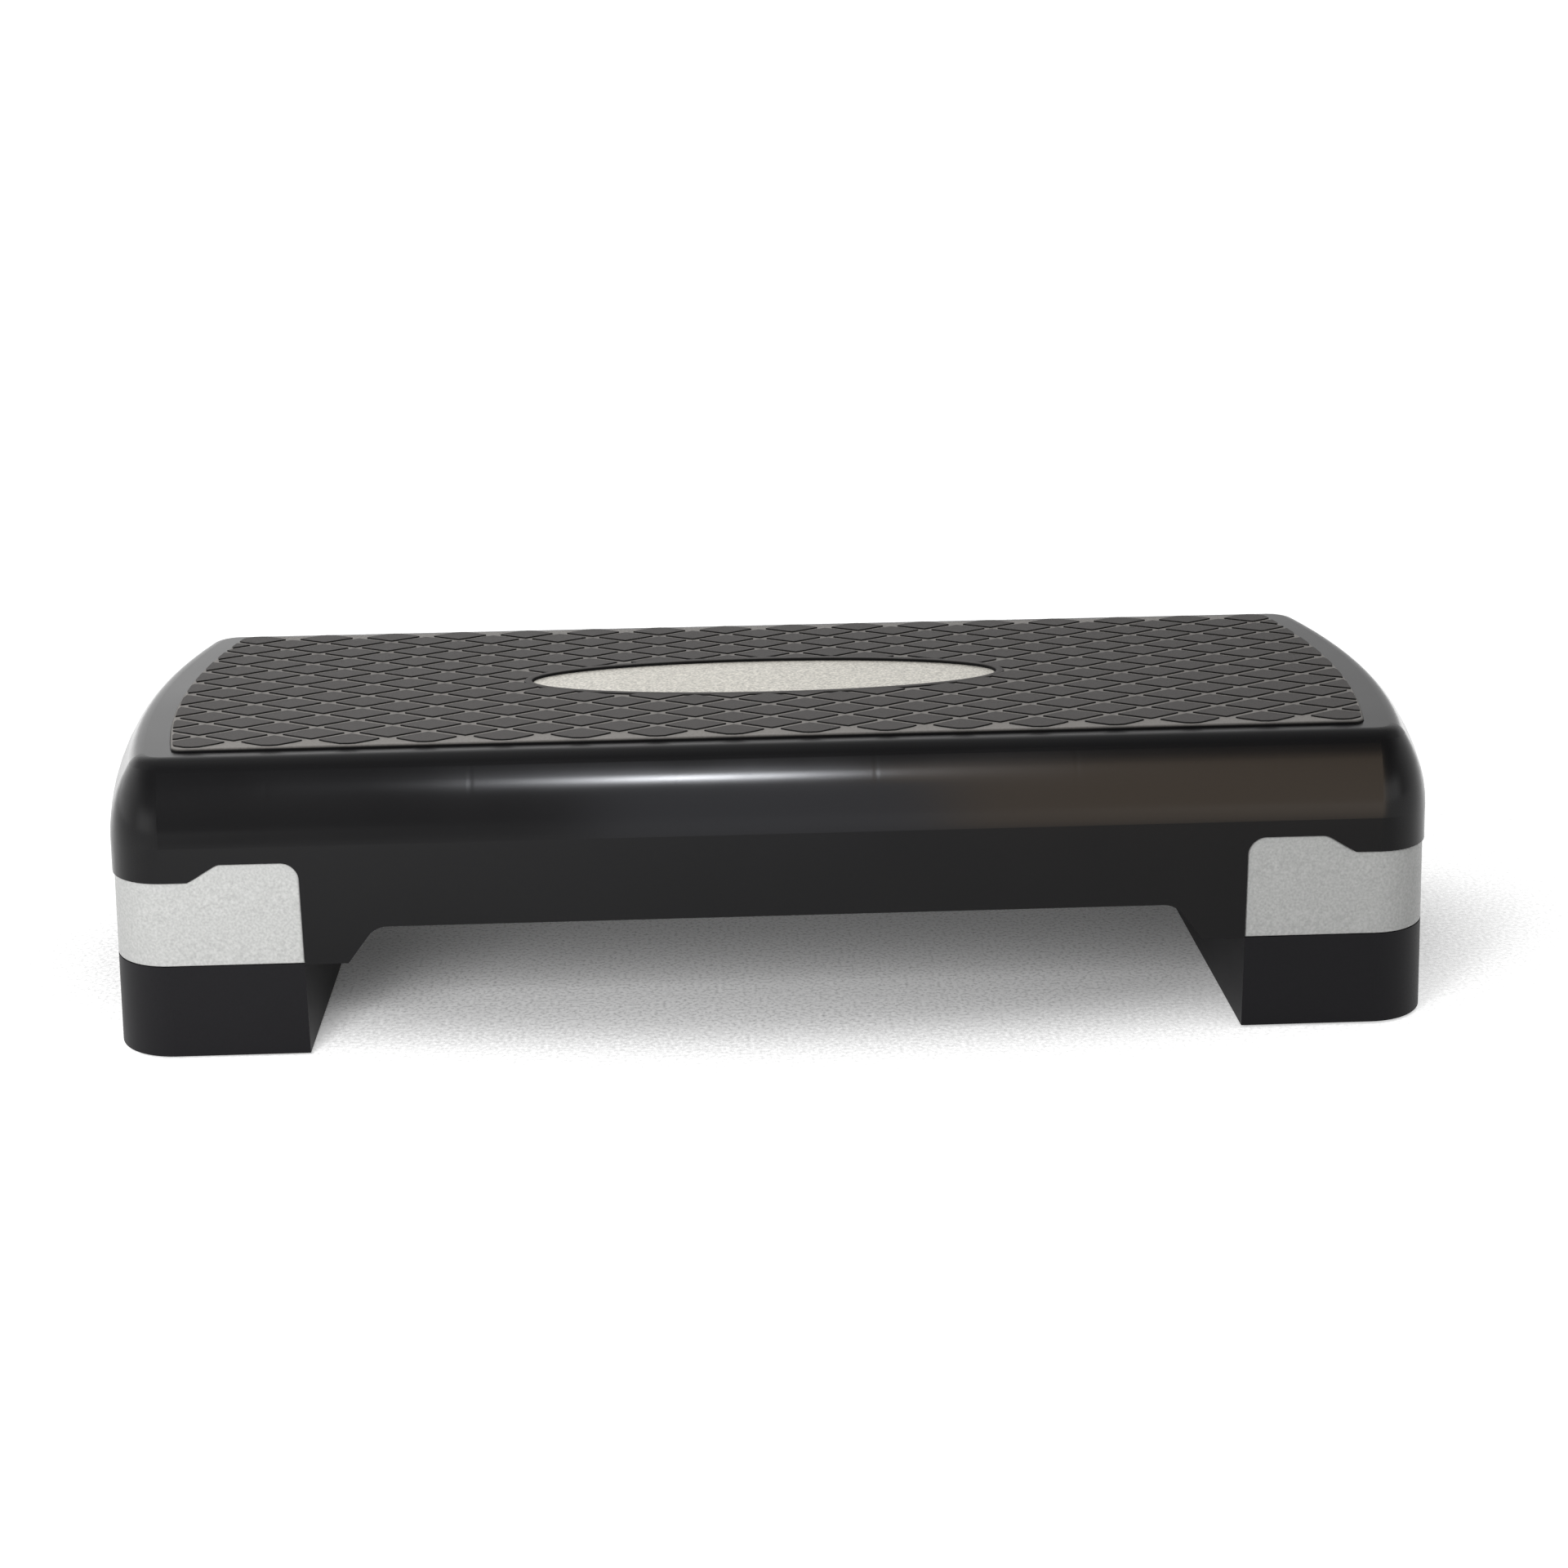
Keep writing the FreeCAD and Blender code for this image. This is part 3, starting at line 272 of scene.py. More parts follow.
def pad_centres():
    """Middles of a staggered lattice over the mat: columns and rows whose numbers add up to an even one."""
    columns = np.arange(-math.ceil(MAT["length"] / LONG_STEP), math.ceil(MAT["length"] / LONG_STEP) + 1)
    rows = np.arange(-math.ceil(MAT["depth"] / CROSS_STEP), math.ceil(MAT["depth"] / CROSS_STEP) + 1)
    column, row = (grid.ravel() for grid in np.meshgrid(columns, rows))
    even = (column + row) % 2 == 0
    return np.stack([column[even] * LONG_STEP, row[even] * CROSS_STEP], axis=-1)


def pad_walls(centres):
    """Directions and distances of the nine straight walls round each pad: four sides of the diamond, the
    front and back border, the two bowed ends and the ring, the last three as tangent lines near the pad."""
    x, y = centres.T
    slant = np.array([CROSS_STEP, LONG_STEP]) / math.hypot(CROSS_STEP, LONG_STEP)
    sides = slant * np.array([(1, 1), (-1, 1), (-1, -1), (1, -1)])
    side_reach = slant[1] * CROSS_STEP - CHANNEL / 2
    far_x, far_y, bow = MAT["length"] - BORDER, MAT["depth"] - BORDER, MAT["bow"] - BORDER
    lean = np.sqrt(bow ** 2 - y ** 2) / bow
    ends = [np.stack([end * lean, y / bow], axis=-1) for end in (1, -1)]
    end_reach = bow + (far_x - bow) * lean
    inner = RING_REACH - RING_WIDTH / 2
    angle = np.arctan2(y / inner[1], x / inner[0])
    away = -np.stack([np.cos(angle) / inner[0], np.sin(angle) / inner[1]], axis=-1)
    size = np.linalg.norm(away, axis=-1, keepdims=True)
    borders = np.array([(0.0, 1.0), (0.0, -1.0)])
    fixed = np.concatenate([sides, borders])
    direction = np.concatenate([
        np.broadcast_to(fixed, (len(centres), *fixed.shape)), np.stack(ends + [away / size], axis=1)], axis=1)
    distance = np.column_stack([
        side_reach + np.einsum("ki,ni->nk", sides, centres), np.full((len(centres), len(borders)), far_y),
        end_reach, end_reach, -1 / size[:, 0]])
    return direction, distance


centres = pad_centres()
wall_direction, wall_distance = pad_walls(centres)
print("lattice:", len(centres), "places, walls:", wall_direction.shape[1])

# %% [markdown]
# The point inside must stay clear of all walls. Starting at the middle of the diamond, we step away from
# whichever wall is nearest, in ever smaller steps, for all pads at once. A place whose best point is still
# too close to a wall would hold a sliver, which a mould maker leaves out.

# %% Middle point of each cut pad and its outline
SETTLING_STEPS = np.geomspace(2.0, 0.02, 60)
PAD_CORNERS, CORNER_POWER = 20, 60


def settled(centres, direction, distance):
    """Points far from all walls: each step moves away from the wall that is nearest at that moment."""
    inside = centres.copy()
    each = np.arange(len(centres))
    for step in SETTLING_STEPS:
        gap = distance - np.einsum("nki,ni->nk", direction, inside)
        inside -= step * direction[each, gap.argmin(axis=1)]
    return inside, distance - np.einsum("nki,ni->nk", direction, inside)


def pad_reach(direction, gap, heading):
    """Reach from the inner point along each heading: one over the power mean of the walls' closeness."""
    closeness = np.clip(np.einsum("nki,hi->nkh", direction, heading), 0, None) / gap[:, :, None]
    return (closeness ** CORNER_POWER).sum(axis=1) ** (-1 / CORNER_POWER)


inside, gap = settled(centres, wall_direction, wall_distance)
kept = gap.min(axis=1) > LEAST_REACH
around = np.arange(PAD_CORNERS) * 2 * math.pi / PAD_CORNERS
heading = np.stack([LONG_STEP * np.cos(around), CROSS_STEP * np.sin(around)], axis=-1)
heading /= np.linalg.norm(heading, axis=-1, keepdims=True)
reach = pad_reach(wall_direction[kept], gap[kept], heading)
print("pads:", len(reach), "reach", reach.min().round(2), "to", reach.max().round(2), "mm")

# %% [markdown]
# Each pad is three rings: one sunk into the sheet, one where the wall ends, and one on top, drawn in by a
# small bevel. Their tops stay a hair below the ring that some of them run into, so no two faces lie in one
# plane. All pads join the sheet in one mesh, because on the real mat they are one moulding.

# %% Pads joined to the mat
PAD_SUNK, PAD_BEVEL, PAD_BELOW_RING = 0.3, 0.2, 0.02
pad_rows = np.array([
    (0.0, CHANNEL_FLOOR - PAD_SUNK, WALL_MARK),
    (0.0, TREAD_TOP - PAD_BELOW_RING - PAD_BEVEL, WALL_MARK),
    (PAD_BEVEL, TREAD_TOP - PAD_BELOW_RING, TOP_MARK)])
pad_flat = inside[kept][:, None, None] + (reach[:, None] - pad_rows[:, :1])[..., None] * heading
pad_height = np.broadcast_to(pad_rows[:, 1, None, None], pad_flat.shape[:3] + (1,))
pad_points = np.concatenate([pad_flat, pad_height], axis=-1).reshape(-1, 3)
pad_marks = np.tile(np.repeat(pad_rows[:, 2], PAD_CORNERS), len(reach))
pad_first = len(mat_marks) + np.arange(len(reach)) * len(pad_rows) * PAD_CORNERS
pad_faces = [
    face for corner_list in ring_faces(len(pad_rows), PAD_CORNERS)
    for face in (np.array(corner_list) + pad_first[:, None]).tolist()]

mat = new_piece(
    "tread_mat_skin", np.concatenate([mat_points.reshape(-1, 3), pad_points]), mat_faces + pad_faces,
    "platform", "mat_rubber", "tread_mat")
level = mat.data.attributes.new("tread_level", "FLOAT", "POINT")
level.data.foreach_set("value", np.concatenate([mat_marks, pad_marks]))

# %% [markdown]
# ## Oval plate
# A satin plate fills the ring. Stamped plates have a turned edge and a slight crown, so a flat disc would
# look like paper. Rings of shrinking ellipses give both: a quarter round at the rim, then a dome that is a
# millimetre's fraction higher in the middle.

# %% Plate with a rounded rim and a low crown
PLATE_TOP, PLATE_RIM, PLATE_CROWN, PLATE_LIFT = 149.7, 0.4, 0.3, 0.02
PLATE_SPOKES, PLATE_RINGS, PLATE_HUB = 160, 14, 0.02
rim = rounded_edge(PLATE_RIM)
shrink = np.linspace(1, PLATE_HUB, PLATE_RINGS)[1:]
plate_reach = np.concatenate([
    PLATE_REACH - np.concatenate([[0.0], rim[:, 0]])[:, None],
    (PLATE_REACH - PLATE_RIM) * shrink[:, None]])
plate_height = np.concatenate([
    [PLATE_FLOOR + PLATE_LIFT], PLATE_TOP + rim[:, 1], PLATE_TOP + PLATE_CROWN * (1 - shrink ** 2)])
spokes = np.arange(PLATE_SPOKES) * 2 * math.pi / PLATE_SPOKES
plate_points = stacked(ellipse_ring(plate_reach[:, None, :], spokes), plate_height)
plate_faces = ring_faces(*plate_points.shape[:2])
plate = new_piece("oval_plate_skin", plate_points, plate_faces, "platform", "badge_metal", "badge_plate")

# %% [markdown]
# ## End covers
# A light grey cover clips round each leg. Its top edge steps down where the deck's rounded corner reaches
# lower, and its upper inner corner is rounded. The top edge is a height for each place along the front. A
# drawn curve would do as well, but a formula gives the same edge on all four corners.

# %% Top edge of a cover along the front
DRAFT = math.tan(math.radians(2.5))
LEG_INNER, COVER_CORNER, STEP_INNER, STEP_OUTER = 231.2, 9.0, 270.0, 284.5
COVER_FOOT, COVER_SHOULDER, COVER_LIP, COVER_THICK = 48.2, 99.6, 90.8, 2.6
STEP_SOFTNESS, STEP_MARGIN = 0.22, 4.0
CORNER_STATIONS, SHOULDER_STATIONS, STEP_STATIONS, LIP_STATIONS = 12, 5, 22, 4


def area_under_ramp(t):
    """Area under a ramp from 0 at 0 to 1 at 1: half a square while it rises, then as much as t grows."""
    return np.clip(t, 0, 1) ** 2 / 2 + np.clip(t - 1, 0, None)


def soft_ramp(t, softness):
    """A ramp from 0 to 1 with rounded ends: the plain ramp averaged over a short window on both sides."""
    return (area_under_ramp(t + softness) - area_under_ramp(t - softness)) / (2 * softness)


def cover_top(x):
    """Height of the top edge at a place along the front: quarter round, shoulder, soft ramp, lip."""
    short = np.clip(COVER_CORNER - (x - LEG_INNER), 0, COVER_CORNER)
    rounded = COVER_CORNER - np.sqrt(COVER_CORNER ** 2 - short ** 2)
    ramp = soft_ramp((x - STEP_INNER) / (STEP_OUTER - STEP_INNER), STEP_SOFTNESS)
    return COVER_SHOULDER - rounded - (COVER_SHOULDER - COVER_LIP) * ramp


body_hub = corner_hub(**BODY)
turn = np.linspace(0, math.pi / 2, CORNER_STATIONS)
stations = np.concatenate([
    LEG_INNER + COVER_CORNER * (1 - np.cos(turn)),
    np.linspace(LEG_INNER + COVER_CORNER, STEP_INNER - STEP_MARGIN, SHOULDER_STATIONS)[1:],
    np.linspace(STEP_INNER - STEP_MARGIN, STEP_OUTER + STEP_MARGIN, STEP_STATIONS)[1:],
    np.linspace(STEP_OUTER + STEP_MARGIN, body_hub, LIP_STATIONS)[1:-1]])
print("cover stations along the front:", len(stations), "tops", cover_top(stations)[[0, -1]].round(1))

# %% [markdown]
# The cover is one section carried round the end of the step: a thin closed loop with soft outer edges,
# stretched at each station between the seam and the top edge, and leaned in by the draft that lets the
# moulding leave its mould. The loop is taken from the top down, so that its faces point outwards. A flat
# plate bent round the end would crease at the step, and this doesn't.

# %% Covers carried round both ends
COVER_EDGE, UPRIGHT_ROWS = 0.8, 6
edge = rounded_edge(COVER_EDGE)
upright = np.linspace(0, 1, UPRIGHT_ROWS)[1:-1]
section = np.concatenate([
    [(COVER_THICK, 0, 0)],
    np.column_stack([edge[::-1, 0], np.zeros(len(edge)), -edge[::-1, 1]]),
    np.column_stack([np.zeros_like(upright), upright, COVER_EDGE * (1 - 2 * upright)]),
    np.column_stack([edge[:, 0], np.ones(len(edge)), edge[:, 1]]),
    [(COVER_THICK, 1, 0)]])[::-1]
front = np.stack([stations, np.full(len(stations), -BODY["depth"])], axis=-1)
end, end_facing = bowed_end(**BODY, turn=14, across=60)
path = np.concatenate([front, end, front[::-1] * (1, -1)])
front_facing = np.tile((0.0, -1.0), (len(front), 1))
facing = np.concatenate([front_facing, end_facing, -front_facing])
top = np.concatenate([cover_top(stations), np.full(len(end), COVER_LIP), cover_top(stations)[::-1]])
near = np.clip(COVER_EDGE - (path[:, 0] - LEG_INNER), 0, COVER_EDGE)
end_round = COVER_EDGE - np.sqrt(COVER_EDGE ** 2 - near ** 2)
depth_in = np.maximum(section[:, 0], end_round[:, None])
height = COVER_FOOT + (top[:, None] - COVER_FOOT) * section[:, 1] + section[:, 2]
flat = path[:, None] - facing[:, None] * (height * DRAFT + depth_in)[..., None]
cover_points = np.concatenate([flat, height[..., None]], axis=-1)
cover_faces = ring_faces(*cover_points.shape[:2])
covers = [
    new_piece("end_cover_" + word, cover_points * (side, side, 1), cover_faces,
              "platform", "band_plastic", "end_band_" + word)
    for side, word in ((-1, "left"), (1, "right"))]

# %% [markdown]
# ## A shared effect: moulded grain
# Injection-moulded plastic and rubber carry a fine spark-eroded grain, and their colour and gloss drift a
# little over the surface. A texture image could hold that, but a node group of two noises works at any size
# and on every piece. It puts out a colour, a roughness and a height, and each material sets its own numbers.

# %% Node group for moulded grain
CLOUD_SCALE, CLOUD_DETAIL, PIP_DETAIL, NOISE_MEAN = 14.0, 4.0, 2.0, 0.5
GRAIN_SOCKETS = {
    "INPUT": ("Colour", "Colour Drift", "Speckle", "Roughness", "Roughness Drift",
              "Grain Scale", "Grain Depth"),
    "OUTPUT": ("Colour", "Roughness", "Height")}
MIX_SOCKETS = {"FLOAT": (2, 3, 0), "RGBA": (6, 7, 2)}


def set_or_link(tree, socket, given):
    """Feeds a socket from another socket, or sets it to a number or colour."""
    if isinstance(given, bpy.types.NodeSocket):
        tree.links.new(given, socket)
    else:
        socket.default_value = given


def math_node(tree, operation, *given):
    """A Math node whose inputs are sockets or numbers; returns its output."""
    node = tree.nodes.new("ShaderNodeMath")
    node.operation = operation
    for socket, value in zip(node.inputs, given):
        set_or_link(tree, socket, value)
    return node.outputs[0]


def noise_node(tree, place, scale, detail):
    """A noise texture read at a place; returns its value, about 0 to 1."""
    node = tree.nodes.new("ShaderNodeTexNoise")
    node.inputs["Detail"].default_value = detail
    tree.links.new(place, node.inputs["Vector"])
    set_or_link(tree, node.inputs["Scale"], scale)
    return node.outputs["Fac"]


def range_node(tree, value, low, high, first, last, smooth=False):
    """A Map Range node that turns low to high into first to last and clamps beyond them."""
    node = tree.nodes.new("ShaderNodeMapRange")
    node.interpolation_type = "SMOOTHSTEP" if smooth else "LINEAR"
    settings = {"Value": value, "From Min": low, "From Max": high, "To Min": first, "To Max": last}
    for name, given in settings.items():
        set_or_link(tree, node.inputs[name], given)
    return node.outputs[0]


def mixed(tree, kind, factor, first, second):
    """A Mix node for numbers or colours, which use different sockets of the node; returns its output."""
    node = tree.nodes.new("ShaderNodeMix")
    node.data_type = kind
    first_in, second_in, out = MIX_SOCKETS[kind]
    for socket, given in ((0, factor), (first_in, first), (second_in, second)):
        set_or_link(tree, node.inputs[socket], given)
    return node.outputs[out]


grain = bpy.data.node_groups.new("moulded_grain", "ShaderNodeTree")
for direction, names in GRAIN_SOCKETS.items():
    for name in names:
        kind = "NodeSocketColor" if name == "Colour" else "NodeSocketFloat"
        grain.interface.new_socket(name=name, in_out=direction, socket_type=kind)
given = grain.nodes.new("NodeGroupInput").outputs
result = grain.nodes.new("NodeGroupOutput").inputs
place = grain.nodes.new("ShaderNodeTexCoord").outputs["Object"]
clouds = math_node(grain, "SUBTRACT", noise_node(grain, place, CLOUD_SCALE, CLOUD_DETAIL), NOISE_MEAN)
pips = math_node(grain, "SUBTRACT", noise_node(grain, place, given["Grain Scale"], PIP_DETAIL), NOISE_MEAN)
gain = math_node(grain, "MULTIPLY_ADD", clouds, given["Colour Drift"], 1.0)
gain = math_node(grain, "MULTIPLY_ADD", pips, given["Speckle"], gain)
tint = grain.nodes.new("ShaderNodeVectorMath")
tint.operation = "SCALE"
grain.links.new(given["Colour"], tint.inputs[0])
grain.links.new(gain, tint.inputs["Scale"])
grain.links.new(tint.outputs[0], result["Colour"])
gloss = math_node(grain, "MULTIPLY_ADD", clouds, given["Roughness Drift"], given["Roughness"])
grain.links.new(gloss, result["Roughness"])
grain.links.new(math_node(grain, "MULTIPLY", pips, given["Grain Depth"]), result["Height"])
print("group:", grain.name, [item.name for item in grain.interface.items_tree])

# %% [markdown]
# ## Finishes
# Each finish is a Principled shader fed by the grain group, whose height is in millimetres. The deck is satin
# black, the risers a little rougher, the covers light grey, the pads under them plain rubber, and the plate
# granular satin.

# %% Finishes of the moulded pieces
PLATE_METALLIC = 0.5


def moulded(name, colour, drift, speckle, roughness, gloss_drift, grain_scale, grain_depth, specular):
    """A finish whose colour, roughness and bump come from the grain group; depths are in millimetres."""
    material = bpy.data.materials.new(name)
    material.use_nodes = True
    tree = material.node_tree
    shader = tree.nodes["Principled BSDF"]
    surface = tree.nodes.new("ShaderNodeGroup")
    surface.name = "grain"
    surface.node_tree = grain
    settings = {"Colour": (*colour, 1), "Colour Drift": drift, "Speckle": speckle, "Roughness": roughness,
                "Roughness Drift": gloss_drift, "Grain Scale": grain_scale, "Grain Depth": grain_depth}
    for socket, value in settings.items():
        surface.inputs[socket].default_value = value
    bump = tree.nodes.new("ShaderNodeBump")
    bump.name = "relief"
    bump.inputs["Strength"].default_value = 1.0
    bump.inputs["Distance"].default_value = MM
    shader.inputs["Specular IOR Level"].default_value = specular
    tree.links.new(surface.outputs["Colour"], shader.inputs["Base Color"])
    tree.links.new(surface.outputs["Roughness"], shader.inputs["Roughness"])
    tree.links.new(surface.outputs["Height"], bump.inputs["Height"])
    tree.links.new(bump.outputs["Normal"], shader.inputs["Normal"])
    return material


finishes = {
    "deck_plastic": moulded(
        "deck_satin_black", (0.0042, 0.0041, 0.0045), drift=0.4, speckle=0.5, roughness=0.17,
        gloss_drift=0.08, grain_scale=1600, grain_depth=0.003, specular=0.12),
    "riser_plastic": moulded(
        "riser_matt_black", (0.0075, 0.0072, 0.0083), drift=0.4, speckle=0.5, roughness=0.5,
        gloss_drift=0.1, grain_scale=1400, grain_depth=0.01, specular=0.11),
    "band_plastic": moulded(
        "cover_light_grey", (0.4, 0.403, 0.395), drift=0.06, speckle=0.7, roughness=0.42,
        gloss_drift=0.1, grain_scale=800, grain_depth=0.012, specular=0.25),
    "mat_rubber": moulded(
        "mat_dark_rubber", (0.066, 0.062, 0.06), drift=0.3, speckle=0.5, roughness=0.62,
        gloss_drift=0.15, grain_scale=900, grain_depth=0.02, specular=0.1),
    "pad_rubber": moulded(
        "pad_black_rubber", (0.015, 0.015, 0.015), drift=0.4, speckle=0.3, roughness=0.75,
        gloss_drift=0.15, grain_scale=1500, grain_depth=0.05, specular=0.2),
    "badge_metal": moulded(
        "plate_satin_silver", (0.53, 0.51, 0.46), drift=0.1, speckle=1.6, roughness=0.48,
        gloss_drift=0.1, grain_scale=750, grain_depth=0.02, specular=0.4),
}
plate_shader = finishes["badge_metal"].node_tree.nodes["Principled BSDF"]
plate_shader.inputs["Metallic"].default_value = PLATE_METALLIC
slot_of = {part["node"]: part["material_slot"] for part in frame["record"]["subparts"]}
for name, node in nodes.items():
    node.material_slots[0].material = finishes[slot_of[name]]
for slot_name, pieces in (("mat_rubber", [mat]), ("badge_metal", [plate]), ("band_plastic", covers)):
    for piece in pieces:
        piece.data.materials.append(finishes[slot_name])
print("finishes:", sorted(finishes))

# %% [markdown]
# ## Tread colour and painted shade
# The channels of the tread are given a paler colour than its tops. The pads' walls, the ring's walls and the
# mat's edge are painted nearly black: a painted shade that stands in for the shadow in the narrow gaps at
# their feet. The height mark of each vertex picks the colour, and the tops keep the finish's own. Painting
# vertices by hand would be slow on so many pads.

# %% Colour of the mat by height mark, with painted shade on the walls
CHANNEL_COLOUR = (0.25, 0.238, 0.226, 1)
# Painted shade: the walls get this near-black colour in place of the shadow that falls in the gaps at their
# feet
PAINTED_WALL_SHADE = (0.004, 0.004, 0.004, 1)
tree = finishes["mat_rubber"].node_tree
mat_colour = tree.nodes["grain"].inputs["Colour"]
top_colour = tuple(mat_colour.default_value)
mark = tree.nodes.new("ShaderNodeAttribute")
mark.attribute_name = "tread_level"
to_wall_shade = range_node(tree, mark.outputs["Fac"], FLOOR_MARK, WALL_MARK, 0.0, 1.0)
to_top = range_node(tree, mark.outputs["Fac"], WALL_MARK, TOP_MARK, 0.0, 1.0)
channel_or_wall_shade = mixed(tree, "RGBA", to_wall_shade, CHANNEL_COLOUR, PAINTED_WALL_SHADE)
tree.links.new(mixed(tree, "RGBA", to_top, channel_or_wall_shade, top_colour), mat_colour)
print("mat shaded by", mark.attribute_name)

# %% [markdown]
# ## Sink marks
# Where a rib stands behind a moulded wall, the plastic shrinks as it cools and a faint upright line shows on
# the outside. The ribs repeat at an even pitch, so a wave of that pitch, kept to a narrow dip, marks them
# all. It counts from a rib's place beyond the left end. Modelling a hollow of a hundredth of a millimetre
# would need far too many faces.

# %% Faint dips over the ribs
RIB_PITCH, DIP_WIDTH, DIP_DEPTH = 0.098, 0.0022, 0.012
FAR_RIB = -5.5 * RIB_PITCH
tree = finishes["deck_plastic"].node_tree
spot = tree.nodes.new("ShaderNodeSeparateXYZ")
tree.links.new(tree.nodes.new("ShaderNodeTexCoord").outputs["Object"], spot.inputs[0])
along_ribs = math_node(tree, "SUBTRACT", spot.outputs["X"], FAR_RIB)
from_rib = math_node(tree, "PINGPONG", along_ribs, RIB_PITCH / 2)
dip = range_node(tree, from_rib, 0.0, DIP_WIDTH, -DIP_DEPTH, 0.0, smooth=True)
relief = math_node(tree, "ADD", tree.nodes["grain"].outputs["Height"], dip)
tree.links.new(relief, tree.nodes["relief"].inputs["Height"])
print("dips every", RIB_PITCH, "m")

# %% [markdown]
# ## Grained rim
# The flat rim round the mat is grained for grip, while the walls below are nearly polished. Moulds are often
# etched in such places. A second material would need a cut in the mesh, so the height above the floor picks
# the roughness.

# %% Rougher finish on the rim
RIM_START, RIM_FULL, RIM_EXTRA = 0.1465, 0.1482, 0.14
etched = range_node(tree, spot.outputs["Z"], RIM_START, RIM_FULL, 0.0, RIM_EXTRA, smooth=True)
dulled = math_node(tree, "ADD", tree.nodes["grain"].outputs["Roughness"], etched)
tree.links.new(dulled, tree.nodes["Principled BSDF"].inputs["Roughness"])
print("rim grained above", RIM_START, "m")

# %% [markdown]
# ## Floor
# A white floor with a fine grain, like a foam sheet, carries the shadow. To let it run into a white
# background, it glows for the camera and for reflections only, faintly under the step, more away from it, and
# most to the left and right, where the rounded corners mirror it. That adds no light to the object.

# %% Floor
FLOOR_REACH = 14.0
GLOW_NEAR, GLOW_FAR, GLOW_START, GLOW_FULL = 0.05, 0.6, 0.75, 1.45
SIDE_GLOW, SIDE_START, SIDE_FULL = 0.9, 1.4, 2.2
corners = FLOOR_REACH * np.array([(-1, -1, 0), (1, -1, 0), (1, 1, 0), (-1, 1, 0)])
floor_mesh = bpy.data.meshes.new("floor")
floor_mesh.from_pydata(corners.tolist(), [], [(0, 1, 2, 3)])
floor = bpy.data.objects.new("floor", floor_mesh)
bpy.context.scene.collection.objects.link(floor)
floor_finish = moulded(
    "floor_white", (0.9, 0.9, 0.9), drift=0.0, speckle=1.4, roughness=0.8,
    gloss_drift=0.0, grain_scale=480, grain_depth=0.0, specular=0.1)
floor_mesh.materials.append(floor_finish)


def seen_directly(tree):
    """Two masks: 1 for rays from the camera, mirrors or clear surfaces, and 1 for camera rays alone."""
    rays = tree.nodes.new("ShaderNodeLightPath").outputs
    seen = math_node(tree, "MAXIMUM", rays["Is Camera Ray"], rays["Is Glossy Ray"])
    return math_node(tree, "MAXIMUM", seen, rays["Is Transmission Ray"]), rays["Is Camera Ray"]


floor_tree = floor_finish.node_tree
floor_shader = floor_tree.nodes["Principled BSDF"]
floor_shader.inputs["Emission Color"].default_value = (1, 1, 1, 1)
floor_seen, _ = seen_directly(floor_tree)
across = floor_tree.nodes.new("ShaderNodeMapping")
across.inputs["Scale"].default_value = (1 / cad_box[1][0], 1 / cad_box[1][1], 0)
floor_tree.links.new(floor_tree.nodes.new("ShaderNodeTexCoord").outputs["Object"], across.inputs[0])
away = floor_tree.nodes.new("ShaderNodeVectorMath")
away.operation = "LENGTH"
floor_tree.links.new(across.outputs[0], away.inputs[0])
glow = range_node(floor_tree, away.outputs["Value"], GLOW_START, GLOW_FULL, GLOW_NEAR, GLOW_FAR, smooth=True)
floor_spot = floor_tree.nodes.new("ShaderNodeSeparateXYZ")
floor_tree.links.new(across.outputs[0], floor_spot.inputs[0])
beside = math_node(floor_tree, "ABSOLUTE", floor_spot.outputs["X"])
side_glow = range_node(floor_tree, beside, SIDE_START, SIDE_FULL, 0.0, SIDE_GLOW, smooth=True)
glow = math_node(floor_tree, "ADD", glow, side_glow)
shown_glow = math_node(floor_tree, "MULTIPLY", floor_seen, glow)
floor_tree.links.new(shown_glow, floor_shader.inputs["Emission Strength"])
print("floor reach:", FLOOR_REACH, "m")

# %% [markdown]
# ## Surround
# A pale room lights the step from all sides, brighter overhead and on the left. The camera sees plain white.
# In reflections the white backdrop behind the step is brighter than the room in front, and the ceiling is
# darker, so the flat rim shines and the black walls keep their depth. Pale walls to the left and right of the
# camera show in the rounded corners. A band is the range of a direction's coordinate over which one shade
# fades into the next.

# %% World light
HORIZON_LIGHT, ZENITH_LIGHT, LEFT_LIGHT = 0.18, 0.6, 0.06
ROOM_SHADE, BACKDROP_SHADE, BACKDROP_BAND = 0.9, 2.1, (-0.8, 0.1)
CEILING_SHADE, CEILING_BAND = 0.6, (0.35, 0.6)
SIDE_SHADE, SIDE_BAND = 1.6, (0.5, 0.95)
RIGHT_SHADE, RIGHT_BAND = 0.58, (-0.2, 0.35)
WALL_LIGHT, WALL_SIDE_BAND = 2.6, (0.27, 0.5)
WALL_FRONT_BAND, WALL_HEIGHT_BAND = (-0.75, -0.45), (0.15, 0.35)
world = bpy.data.worlds.new("surround")
bpy.context.scene.world = world
world.use_nodes = True
sky = world.node_tree
toward = sky.nodes.new("ShaderNodeSeparateXYZ")
sky.links.new(sky.nodes.new("ShaderNodeTexCoord").outputs["Generated"], toward.inputs[0])
upward = math_node(sky, "MAXIMUM", toward.outputs["Z"], 0.0)
dome = math_node(sky, "MULTIPLY_ADD", upward, ZENITH_LIGHT, HORIZON_LIGHT)
dome = math_node(sky, "MULTIPLY_ADD", toward.outputs["X"], -LEFT_LIGHT, dome)
sideways = math_node(sky, "ABSOLUTE", toward.outputs["X"])
mirrored = range_node(sky, toward.outputs["Y"], *BACKDROP_BAND, ROOM_SHADE, BACKDROP_SHADE, smooth=True)
for way, band, factor in (
        (upward, CEILING_BAND, CEILING_SHADE), (sideways, SIDE_BAND, SIDE_SHADE),
        (toward.outputs["X"], RIGHT_BAND, RIGHT_SHADE)):
    mirrored = math_node(sky, "MULTIPLY", mirrored, range_node(sky, way, *band, 1.0, factor, smooth=True))
